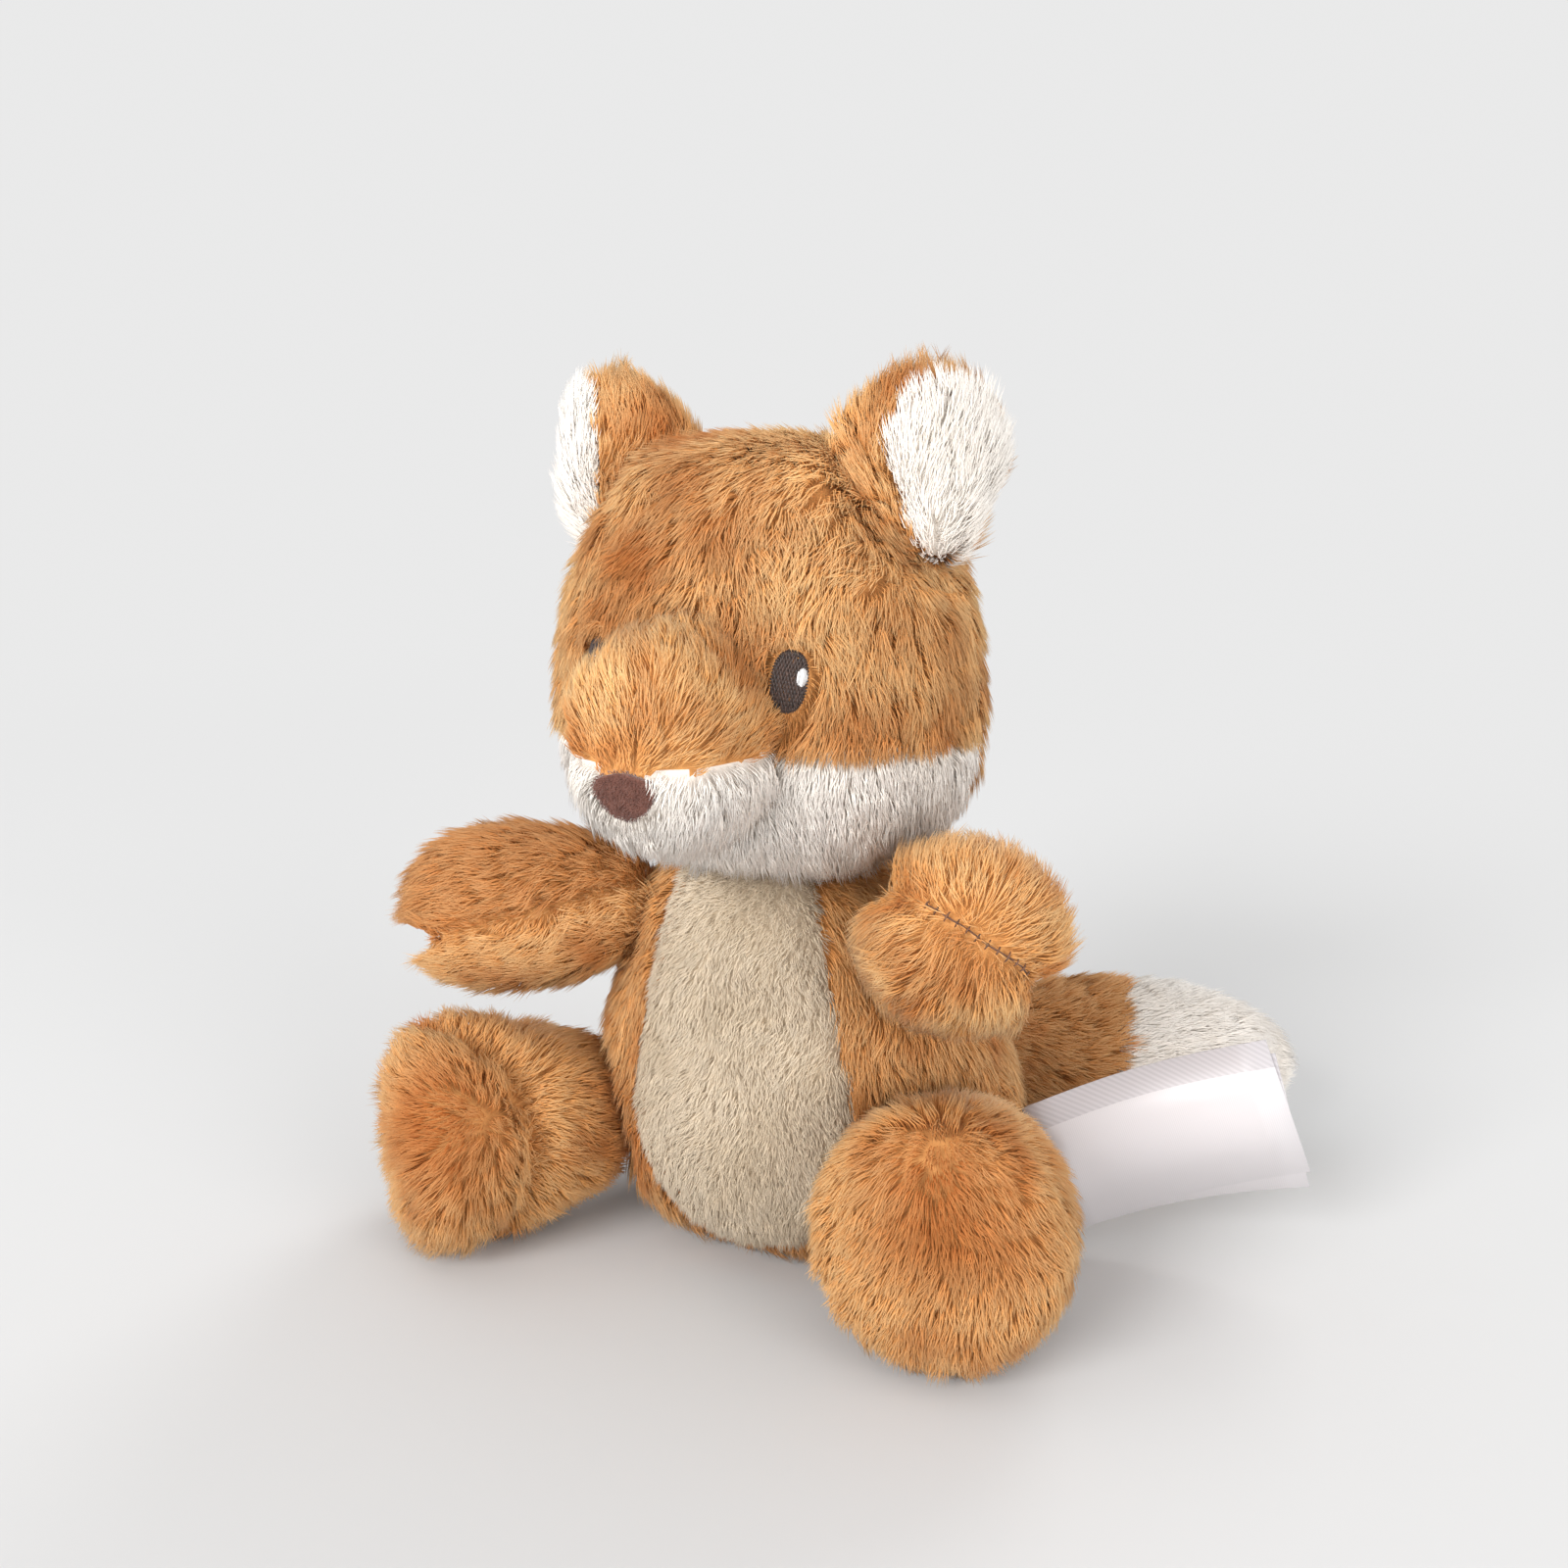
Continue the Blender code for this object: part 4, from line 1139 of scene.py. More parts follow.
class StitchTree:
    """A node tree that lays a stitch on each point, along its run and bowed outwards."""

    def __init__(self) -> None:
        """Build the tree and the thread that it repeats."""
        self.thread = new_object("thread", thread_mesh(), hidden=True)
        self.tree = t = GeometryTree("stitches", thread="Object", width="Float", uneven="Float",
                                     seed="Int", finish="Material")
        thread, width, uneven, seed, finish = t.given
        points = t.add("GeometryNodeMeshToPoints", {"Mesh": t.geometry}).outputs[0]
        stray = t.times(t.random(-1.0, 1.0, seed), uneven)
        out = t.read("out", VECTOR)
        run = t.add("ShaderNodeVectorRotate", {"Vector": t.read("run", VECTOR), "Axis": out,
                                               "Angle": stray}).outputs[0]
        thick = t.times(width, t.random(0.86, 1.14, 5))
        size = t.joined(t.times(thick, 0.8), thick, t.vector("LENGTH", run))
        points = t.store(points, "tone", t.random(0.0, 1.0, 9))
        t.finish(t.smooth(t.repeated(points, thread, t.laid(run, out), size)), finish)

    def sew(self, name: str, stitches: list[tuple[Vector, Vector, Vector]], width: float,
            finish: Material, uneven: float, seed: int) -> Thing:
        """Sew stitches at given places.

        Args:
            name: The piece's name.
            stitches: Each one's middle, its run, as long as the stitch, and the way out of the cloth.
            width: The thread's width.
            finish: The thread's material.
            uneven: How far stitches turn at random, in radians.
            seed: The random seed.

        Returns:
            The stitches as one piece.
        """
        places, runs, outs = (np.array([tuple(part) for part in column]) for column in zip(*stitches))
        mesh = bpy.data.meshes.new(name + "_places")
        mesh.from_pydata(places.tolist(), [], [])
        set_attributes(mesh, run=runs, out=outs)
        source = new_object(name + "_places", mesh)
        made = self.tree.on(source, (self.thread, width, uneven, seed, finish), ("run", "out"))
        return new_object(name, made)


class SeamTree:
    """A node tree that runs a thread along a seam and crosses it with stitches."""

    def __init__(self, thread: Thing) -> None:
        """Build the tree.

        Args:
            thread: The stitch that crosses the seam.
        """
        self.thread = thread
        self.tree = t = GeometryTree("seam", stitch="Object", radius="Float", pitch="Float",
                                     length="Float", width="Float", finish="Material")
        stitch, radius, pitch, length, width, finish = t.given
        line = t.add("GeometryNodeMeshToCurve", {"Mesh": t.geometry}).outputs[0]
        even = t.add("GeometryNodeResampleCurve", {"Curve": line, "Length": CORD_STEP},
                     mode="LENGTH").outputs[0]
        ring = t.add("GeometryNodeCurvePrimitiveCircle", {"Resolution": CORD_SIDES,
                                                          "Radius": radius}).outputs["Curve"]
        cord = t.add("GeometryNodeCurveToMesh", {"Curve": even, "Profile Curve": ring,
                                                 "Fill Caps": True}).outputs[0]
        cord = t.store(cord, "tone", 0.5)
        spots = t.add("GeometryNodeCurveToPoints", {"Curve": line, "Length": pitch},
                      mode="LENGTH").outputs
        out = t.read("out", VECTOR)
        across = t.vector("NORMALIZE", t.vector("CROSS_PRODUCT", spots["Tangent"], out))
        size = t.joined(width, width, t.times(length, t.random(0.8, 1.2, 2)))
        points = t.store(spots["Points"], "tone", t.random(0.0, 1.0, 4))
        real = t.repeated(points, stitch, t.laid(across, out), size)
        both = t.add("GeometryNodeJoinGeometry")
        for piece in (cord, real):
            t.feed(both.inputs[0], piece)
        t.finish(t.smooth(both.outputs[0]), finish)

    def sew(self, seam: Seam, line: Mesh, finish: Material) -> Thing:
        """Sew one seam.

        Args:
            seam: Its name and the sizes of its thread.
            line: The seam's line, with the way out of the cloth at each point.
            finish: The thread's material.

        Returns:
            The seam's thread as one piece.
        """
        source = new_object(seam.name + "_line", line)
        values = (self.thread, seam.radius, seam.pitch, seam.length, seam.width, finish)
        return new_object(seam.name, self.tree.on(source, values, ("out",)))


@dataclass
class Workshop:
    """What the sub-assemblies share: the trees, the finished materials and the forms made so far."""

    pile: PileTree = field(default_factory=PileTree)
    stitches: StitchTree = field(default_factory=StitchTree)
    hairs: dict = field(default_factory=lambda: {f: FINISHES[f].material() for f in Fabric})
    backings: dict = field(default_factory=lambda: {f: FINISHES[f].backing() for f in Fabric})
    threads: dict = field(default_factory=lambda: {k: finish.material() for k, finish in THREADS.items()})
    suede: Material = field(default_factory=NOSE_SUEDE.material)
    satin: Material = field(default_factory=LABEL_SATIN.material)
    forms: dict = field(default_factory=dict)

    def __post_init__(self) -> None:
        """Build the seam's tree round the same thread."""
        self.seams = SeamTree(self.stitches.thread)

    def clear(self) -> None:
        """Take away the hair and the thread that the trees repeat."""
        remove(self.pile.hair)
        remove(self.stitches.thread)


@dataclass
class StuffedPart:
    """A stuffed form and the pile panels that cover it."""

    name: str
    body: str
    panels: tuple[Panel, ...]
    filling: str | None = None
    fixtures: tuple[str, ...] = ()
    ovals: tuple[Oval, ...] = ()
    split: tuple[Vector, Vector] | None = None
    voxel: float = 1.6 * MM
    shaping: Flare | Shorten | Shoulders | Blunt | None = None
    seam: Seam | None = None
    rounded: bool = False
    seam_reach: float = 3.6 * MM
    seam_depth: float = 1.1 * MM
    seam_width: float = 1.4 * MM
    parting: float = 1.2
    parting_reach: float = 3.6 * MM
    under: str = ""
    rooted: float = 0.0
    fill: float = 0.85
    seed: int = 1

    def build(self, shop: Workshop, others: BVHTree) -> None:
        """Make the padded form and grow its pile.

        Args:
            shop: The shared trees and materials.
            others: The surfaces of all other parts, which the pile gives way to.
        """
        form = self._form()
        owners = self._owners(form.data)
        if self.shaping:
            set_places(form.data, self.shaping.apply(places_of(form.data)))
        seam, toward = self._shape(form.data, owners, others, shop.forms.get(self.under))
        shop.forms[self.name] = BVHTree.FromPolygons(*tree_data(form.data))
        self._paint(form.data, owners, shop)
        slot = "fibre_filling" if self.filling else self.panels[0].fabric.value
        hand_over(form, self.body, slot, self.filling or self.panels[0].node)
        for number, panel in enumerate(self.panels):
            self._grow(form.data.copy(), owners == number, panel, shop, seam, toward)
        if self.seam:
            self._sew(form.data, owners, shop)

    def _form(self) -> Thing:
        """One closed skin round the part's CAD nodes.

        Returns:
            The form.
        """
        nodes = [panel.node for panel in self.panels] + list(self.fixtures)
        shape = welded(*nodes, *([self.filling] if self.filling else []))
        if self.rounded:
            hull = bmesh.ops.convex_hull(shape, input=shape.verts)
            loose = set(hull["geom_interior"]) | set(hull["geom_unused"])
            outer = {item for item in hull["geom"] if isinstance(item, bmesh.types.BMFace)}
            bmesh.ops.delete(shape, geom=[f for f in shape.faces if f not in outer], context="FACES")
            corners = [item for item in loose if isinstance(item, bmesh.types.BMVert)]
            bmesh.ops.delete(shape, geom=[v for v in corners if v.is_valid and not v.link_faces],
                             context="VERTS")
        form = new_object(self.name + "_form", as_mesh(shape, self.name))
        remeshed(form, self.voxel)
        return form

    def _owners(self, mesh: Mesh) -> Array:
        """Which panel each face of the form belongs to.

        Args:
            mesh: The form's mesh.

        Returns:
            A panel's number for each face.
        """
        if self.split:
            point, normal = self.split
            return np.array([int((face.center - point).dot(normal) < 0) for face in mesh.polygons])
        surfaces = [tree_data(frame["nodes"][panel.node].data) for panel in self.panels]
        trees = [BVHTree.FromPolygons(*surface) for surface in surfaces]
        return np.array([int(np.argmin([tree.find_nearest(face.center)[3] for tree in trees]))
                         for face in mesh.polygons])

    def _shape(self, mesh: Mesh, owners: Array, others: BVHTree,
               carrier: BVHTree | None) -> tuple[Array, Array]:
        """Smooth the form, sink it under its pile and draw it in along its seams.

        Args:
            mesh: The form, which is changed.
            owners: The panel of each face.
            others: The surfaces of all other parts.
            carrier: The form that this one is sewn on, inside which it has no pile.

        Returns:
            How free of a seam each point is, from 0 to 1, and the way to lie there.
        """
        edges = np.array([edge.vertices for edge in mesh.edges])
        places = relaxed(places_of(mesh), edges, 3)
        set_places(mesh, places)
        normals = normals_of(mesh)
        room = np.array([gap_ahead(others, Vector(p), Vector(n)) for p, n in zip(places, normals)])
        insets, trims, count = np.zeros((3, len(places)))
        for face, owner in zip(mesh.polygons, owners):
            panel = self.panels[owner]
            for vertex in face.vertices:
                insets[vertex] += PILES[panel.fabric].inset * panel.length
                trims[vertex] += panel.edge
                count[vertex] += 1
        insets = relaxed(insets / np.maximum(count, 1), edges, 4)
        trims = relaxed(trims / np.maximum(count, 1), edges, 4)
        far = np.full(len(places), 1.0)
        toward = np.zeros_like(places)
        seams = shared_edges(mesh, owners)
        if seams:
            gaps, toward = nearest_of(places_of(mesh)[np.array(seams)].mean(axis=1), places)
            far = smooth_step(gaps, 0, self.seam_reach)
            aside = 1 - smooth_step(gaps, 0, self.parting_reach)
            toward *= (aside ** 1.2 * smooth_step(gaps, 0, 0.8 * MM))[:, None] * self.parting
            insets = insets * (trims + (1 - trims) * far)
            insets = insets + self.seam_depth * np.exp(-(gaps / self.seam_width) ** 2)
        cover = np.clip(room / FULL_COVER_GAP, LEAST_COVER, 1)
        free = np.clip(room / FULL_LENGTH_GAP, LEAST_LENGTH, 1)
        for oval in self.ovals:
            reach = oval.reach(places)
            insets = insets * (0.12 + 0.88 * smooth_step(reach, 0.95, 1.5))
            outward = places - np.array(oval.centre)
            outward -= (outward @ np.array(oval.outward))[:, None] * np.array(oval.outward)
            near = oval.clearing * (1 - smooth_step(reach, 1.0, 2.1))
            toward += unit(outward) * (2.0 * near)[:, None]
            free = free * (1 - 0.5 * near) * (0.1 + 0.9 * smooth_step(reach, 0.95, 1.4))
            cover = cover * smooth_step(reach, 1.0, 1.25)
        sunk = relaxed(places - normals * insets[:, None], edges, 2)
        if carrier:
            back = np.array((middle("head_stuffing") - middle(self.filling)).normalized())
            sunk += back * (smooth_step(normals @ back, 0.2, 0.8) * self.rooted)[:, None]
            found = [carrier.find_nearest(place) for place in sunk]
            clear = np.array([(Vector(p) - near[0]).dot(near[1]) for p, near in zip(sunk, found)])
            cover = cover * smooth_step(clear, 0.2 * MM, 1.8 * MM)
        set_places(mesh, sunk)
        set_attributes(mesh, cover=cover, room=free)
        return far, toward

    def _sew(self, mesh: Mesh, owners: Array, shop: Workshop) -> None:
        """Run the seam's thread where it shows.

        Args:
            mesh: The finished form.
            owners: The panel of each face.
            shop: The shared trees and materials.
        """
        seam = self.seam
        places, normals = places_of(mesh), normals_of(mesh)
        pairs = shared_edges(mesh, owners)
        if seam.near is not None:
            pairs = [key for key in pairs
                     if np.linalg.norm(places[list(key)].mean(axis=0) - np.array(seam.near)) < seam.reach]
        used = sorted({end for key in pairs for end in key})
        number = {end: k for k, end in enumerate(used)}
        edges = np.array([[number[a], number[b]] for a, b in pairs])
        spots = relaxed(places[used] + normals[used] * seam.proud, edges, 6)
        line = bpy.data.meshes.new(seam.name + "_line")
        line.from_pydata(spots.tolist(), edges.tolist(), [])
        set_attributes(line, out=relaxed(normals[used], edges, 4))
        hand_over(shop.seams.sew(seam, line, shop.threads["seam"]), self.body, "eye_thread")

    def _paint(self, mesh: Mesh, owners: Array, shop: Workshop) -> None:
        """Give each face the backing of its panel's fabric.

        Args:
            mesh: The form's mesh.
            owners: The panel of each face.
            shop: The shared trees and materials.
        """
        fabrics = list(dict.fromkeys(panel.fabric for panel in self.panels))
        mesh.materials.clear()
        for fabric in fabrics:
            mesh.materials.append(shop.backings[fabric])
        slots = np.array([fabrics.index(panel.fabric) for panel in self.panels])[owners]
        mesh.polygons.foreach_set("material_index", slots)
        mesh.shade_smooth()

    def _grow(self, mesh: Mesh, mask: Array, panel: Panel, shop: Workshop, seam: Array,
              toward: Array) -> None:
        """Grow one panel's pile.

        Args:
            mesh: A copy of the form.
            mask: Which of its faces belong to the panel.
            panel: The panel.
            shop: The shared trees and materials.
            seam: How free of a seam each point is.
            toward: The way to lie near the seams.
        """
        places = places_of(mesh)
        # Painted shade: the panel's own darkening, its parted spots and a little more beside its seams.
        warm = np.full(len(places), panel.warm)
        for place in panel.spots:
            gap = np.linalg.norm(places - np.array(place.centre), axis=1)
            warm = np.maximum(warm, place.depth * np.exp(-(gap / place.radius) ** 2))
        set_attributes(mesh, warm=np.clip(warm + 0.1 * (1 - seam), 0, 1), parting=toward)
        room = np.empty(len(places), dtype=np.float32)
        mesh.attributes["room"].data.foreach_get("value", room)
        mesh.attributes["room"].data.foreach_set("value", room * (panel.edge + (1 - panel.edge) * seam))
        shape = bmesh.new()
        shape.from_mesh(mesh)
        shape.faces.ensure_lookup_table()
        bmesh.ops.delete(shape, geom=[shape.faces[k] for k in np.nonzero(~mask)[0]], context="FACES")
        shape.to_mesh(mesh)
        shape.free()
        source = new_object(panel.node + "_surface", mesh)
        pile = PILES[panel.fabric]
        pile = replace(pile, seed=self.seed + 10 * len(panel.node), spacing=pile.spacing * panel.spread)
        grown = shop.pile.grow(source, pile, panel, shop.hairs[panel.fabric])
        hand_over(new_object(panel.node + "_pile", grown), self.body, panel.fabric.value, panel.node)


def gap_ahead(others: BVHTree, place: Vector, normal: Vector) -> float:
    """How far it is from a point to another part, out along its normal."""
    found = others.ray_cast(place + normal * 0.1 * MM, normal, SIGHT)
    return SIGHT if found[0] is None else found[3]


def nearest_of(points: Array, places: Array) -> tuple[Array, Array]:
    """How each place lies from the nearest of some points.

    Args:
        points: The points.
        places: The places.

    Returns:
        How far off each place is, and the way to it from its point.
    """
    tree = KDTree(len(points))
    for k, point in enumerate(points):
        tree.insert(point, k)
    tree.balance()
    near = [tree.find(place) for place in places]
    return np.array([found[2] for found in near]), unit(places - np.array([found[0] for found in near]))


def remeshed(thing: Thing, voxel: float) -> None:
    """Give an object one even closed skin of small squares.

    Args:
        thing: The object.
        voxel: The squares' size.
    """
    even = thing.modifiers.new("even", "REMESH")
    even.mode = "VOXEL"
    even.voxel_size = voxel
    settle(thing)
    keep_largest_shell(thing.data)


def settle(thing: Thing) -> None:
    """Make an object's mesh what its modifiers show, and take them away.

    Args:
        thing: The object.
    """
    old = thing.data
    thing.data = evaluated_mesh(thing)
    thing.modifiers.clear()
    bpy.data.meshes.remove(old)


def keep_largest_shell(mesh: Mesh) -> None:
    """Leave only a mesh's largest connected shell.

    Args:
        mesh: The mesh, which is changed.
    """
    shape = bmesh.new()
    shape.from_mesh(mesh)
    left = set(shape.verts)
    shells = []
    while left:
        shell = {left.pop()}
        border = list(shell)
        while border:
            vertex = border.pop()
            for other in (edge.other_vert(vertex) for edge in vertex.link_edges):
                if other in left:
                    left.remove(other)
                    shell.add(other)
                    border.append(other)
        shells.append(shell)
    keep = max(shells, key=len)
    bmesh.ops.delete(shape, geom=[v for v in shape.verts if v not in keep], context="VERTS")
    shape.to_mesh(mesh)
    shape.free()


def oval_of(node: str, inside: Vector, grow: float, lean: float = 0.0) -> Oval:
    """The bare oval round a flat CAD patch.

    Args:
        node: The patch's CAD node.
        inside: A point behind the patch.
        grow: How much larger than the patch the oval is.
        lean: How far the oval leans, in radians.

    Returns:
        The oval in the fabric's surface.
    """
    places = places_of(frame["nodes"][node].data)
    centre = Vector(places.mean(axis=0))
    _, _, axes = np.linalg.svd(places - places.mean(axis=0), full_matrices=False)
    outward = Vector(axes[2])
    if outward.dot(centre - inside) < 0:
        outward.negate()
    across = UP.cross(outward).normalized()
    turn = Matrix.Rotation(lean, 3, outward)
    across, upward = turn @ across, turn @ outward.cross(across)
    offset = places - np.array(centre)
    x, y, z = (offset @ np.array(axis) for axis in (across, upward, outward))
    centre = (centre + across * (x.max() + x.min()) / 2 + upward * (y.max() + y.min()) / 2
              + outward * z.max())
    return Oval(centre, across, upward, np.ptp(x) / 2 + grow, np.ptp(y) / 2 + grow)


@dataclass
class EmbroideredEye:
    """One eye: a domed pad of dark satin stitches with a rim, and a white stitched glint."""

    label: str
    half_width: float = 3.05 * MM
    half_height: float = 5.3 * MM
    inward: float = 1.1 * MM
    raised: float = 0.9 * MM
    lean: float = math.radians(8)
    dome: float = 1.1 * MM
    sunk: float = 1.4 * MM
    squareness: float = 2.5
    sides: int = 40
    ring_shares: tuple[float, ...] = (0.2, 0.4, 0.6, 0.78, 0.9, 0.97, 1.0)
    thread: float = 0.34 * MM
    stitch: float = 1.9 * MM
    rim_stitches: int = 62
    rim_length: float = 1.15 * MM
    glint_stitches: int = 7
    glint_half_width: float = 0.85 * MM
    glint_half_height: float = 1.75 * MM
    glint_proud: float = 0.22 * MM
    step: float = 0.06

    @property
    def oval(self) -> Oval:
        """Where the eye sits: on its CAD patch, with its top leaning outwards."""
        side = -1 if self.label == "left" else 1
        found = oval_of("eye_" + self.label, middle("head_stuffing"), 0.0, side * self.lean)
        moved = found.centre + found.across * side * self.inward + found.upward * self.raised
        return replace(found, centre=moved, half_width=self.half_width, half_height=self.half_height)

    def _reach(self, x: float, y: float) -> float:
        """How far out a place is on the eye's rounded shape, 1 at its rim."""
        n = self.squareness
        return (abs(x) ** n + abs(y) ** n) ** (1 / n)

    def _place(self, oval: Oval, x: float, y: float, proud: float = 0.0) -> Vector:
        """The point on the dome at a place from -1 to 1 across and up."""
        height = self.dome * math.sqrt(max(0.0, 1 - self._reach(x, y) ** 2.4))
        return (oval.centre + oval.across * oval.half_width * x + oval.upward * oval.half_height * y
                + oval.outward * (height + proud))

    def _pad(self, oval: Oval) -> Mesh:
        """The closed domed pad that the stitches cover.

        Args:
            oval: Where the eye sits.

        Returns:
            The pad.
        """
        rings = []
        for share in self.ring_shares:
            ring = []
            for k in range(self.sides):
                turn = 2 * math.pi * k / self.sides
                x, y = math.cos(turn), math.sin(turn)
                scale = share / self._reach(x, y)
                ring.append(self._place(oval, x * scale, y * scale))
            rings.append(ring)
        rings.append([point - oval.outward * self.sunk for point in rings[-1]])
        mesh = capped("pad", rings, (self._place(oval, 0, 0), oval.centre - oval.outward * self.sunk))
        mesh.shade_smooth()
        return mesh

    def build(self, shop: Workshop) -> None:
        """Make the pad, its stitches, its rim and the glint.

        Args:
            shop: The shared trees and materials.
        """
        oval, name = self.oval, "eye_" + self.label
        pad = new_object(name + "_pad", self._pad(oval))
        pad.data.materials.append(shop.threads["eye"])
        hand_over(pad, "head", "eye_thread", name)
        rows = shop.stitches.sew(name + "_stitches", self._rows(oval), self.thread, shop.threads["eye"],
                                 uneven=0.16, seed=5)
        hand_over(rows, "head", "eye_thread")
        rim = shop.stitches.sew(name + "_rim", self._rim(oval), self.thread * 1.1, shop.threads["rim"],
                                uneven=0.1, seed=7)
        hand_over(rim, "head", "eye_thread")
        glint = shop.stitches.sew(name + "_glint", self._glint(oval), self.thread, shop.threads["glint"],
                                  uneven=0.02, seed=9)
        hand_over(glint, "head", "white_thread", "eye_glint_" + self.label)

    def _rows(self, oval: Oval) -> list:
        """Upright rows of stitches that fill the pad.

        Args:
            oval: Where the eye sits.

        Returns:
            Each stitch's middle, run and way out.
        """
        found = []
        columns = int(2 * oval.half_width / (self.thread * 0.86))
        rows = int(2 * oval.half_height / (self.stitch * 0.8)) + 1
        for i in range(columns):
            x = -0.9 + 1.8 * (i + 0.5) / columns
            for j in range(rows):
                y = -0.95 + 1.9 * (j + 0.5 + 0.5 * (i % 2) - 0.25) / rows
                if self._reach(x, y) > 0.9:
                    continue
                up = self._place(oval, x, y + self.step) - self._place(oval, x, y - self.step)
                side = self._place(oval, x + self.step, y) - self._place(oval, x - self.step, y)
                found.append((self._place(oval, x, y), up.normalized() * self.stitch,
                              side.cross(up).normalized()))
        return found

    def _rim(self, oval: Oval) -> list:
        """Short stitches across the rim.

        Args:
            oval: Where the eye sits.

        Returns:
            Each stitch's middle, run and way out.
        """
        found = []
        for k in range(self.rim_stitches):
            turn = 2 * math.pi * k / self.rim_stitches
            x, y = math.cos(turn), math.sin(turn)
            scale = 0.92 / self._reach(x, y)
            inner = self._place(oval, x * scale * 0.9, y * scale * 0.9)
            outer = self._place(oval, x * scale * 1.08, y * scale * 1.08)
            around = oval.outward.cross(outer - inner)
            found.append((self._place(oval, x * scale, y * scale),
                          (outer - inner).normalized() * self.rim_length,
                          (outer - inner).cross(around).normalized()))
        return found

    def _glint(self, oval: Oval) -> list:
        """Upright white satin stitches, longest in the middle.

        Args:
            oval: Where the eye sits.

        Returns:
            Each stitch's middle, run and way out.
        """
        spot = middle("eye_glint_" + self.label) - oval.centre
        x0 = spot.dot(oval.across) / oval.half_width
        y0 = spot.dot(oval.upward) / oval.half_height
        found = []
        for i in range(self.glint_stitches):
            share = -1 + 2 * (i + 0.5) / self.glint_stitches
            x = x0 + share * self.glint_half_width / oval.half_width
            half = self.glint_half_height * math.sqrt(1 - 0.8 * share * share)
            up = self._place(oval, x, y0 + self.step) - self._place(oval, x, y0 - self.step)
            found.append((self._place(oval, x, y0, proud=self.glint_proud), up.normalized() * 2 * half,
                          oval.outward))
        return found


@dataclass
class Nose:
    """The brown suede nose: a domed patch with a short nap."""

    width: float = 0.90
    height: float = 0.90
    nap: Pile = Pile(length=0.85 * MM, width=0.17 * MM, spacing=0.23 * MM, rise=0.85, droop=0.5,
                     clump_spacing=0.6 * MM, clump_pull=0.15, swirl=1.4, stray=0.8, inset=0.0)

    def build(self, shop: Workshop) -> None:
        """Make the patch and brush up its nap.

        Args:
            shop: The shared trees and materials.
        """
        patch = new_object("nose_patch", as_mesh(welded("nose"), "nose_patch"))
        soft = patch.modifiers.new("soft", "SUBSURF")
        soft.levels = soft.render_levels = 2
        settle(patch)
        places = places_of(patch.data)
        top, right = places[:, 2].max(), places[:, 0].max()
        places[:, 2] = top + (places[:, 2] - top) * self.height
        places[:, 0] = right + (places[:, 0] - right) * self.width
        set_places(patch.data, places)
        patch.data.materials.clear()
        patch.data.materials.append(shop.suede)
        patch.data.shade_smooth()
        front = patch.data.copy()
        facing = smooth_step(-normals_of(front)[:, 1], -0.1, 0.3)
        set_attributes(front, cover=facing, room=np.ones(len(places)), warm=np.zeros(len(places)),
                       parting=np.zeros_like(places))
        panel = Panel("nose", ORANGE, Flow(middle("nose"), 0.4, DOWN))
        nap = shop.pile.grow(new_object("nose_surface", front), self.nap, panel, shop.suede)
        hand_over(patch, "head", "nose_suede", "nose")
        hand_over(new_object("nose_nap", nap), "head", "nose_suede")


@dataclass
class Label:
    """The folded satin ribbon in the side seam: two bare leaves."""

    leaves: tuple[str, str] = ("label_front_leaf", "label_back_leaf")

    def build(self, shop: Workshop) -> None:
        """Dress both leaves with the ribbon's weave and hem.

        Args:
            shop: The shared trees and materials.
        """
        for node in self.leaves:
            mesh = as_mesh(welded(node), node + "_ribbon")
            places = places_of(mesh)
            places -= places.mean(axis=0)
            _, _, axes = np.linalg.svd(places, full_matrices=False)
            along = places @ axes[0]
            height = places @ (axes[1] if axes[1][2] > 0 else -axes[1])
            set_attributes(mesh, height_share=(height - height.min()) / np.ptp(height))
            corners = np.empty(len(mesh.loops), dtype=int)
            mesh.loops.foreach_get("vertex_index", corners)
            spread = np.stack([along[corners], height[corners]], axis=1)
            mesh.uv_layers.new(name=RIBBON_MAP).data.foreach_set("uv", spread.astype(np.float32).ravel())
            mesh.materials.clear()
            mesh.materials.append(shop.satin)
            mesh.shade_smooth()
            leaf = new_object(node + "_ribbon", mesh)
            hand_over(leaf, "label", "label_satin", node)


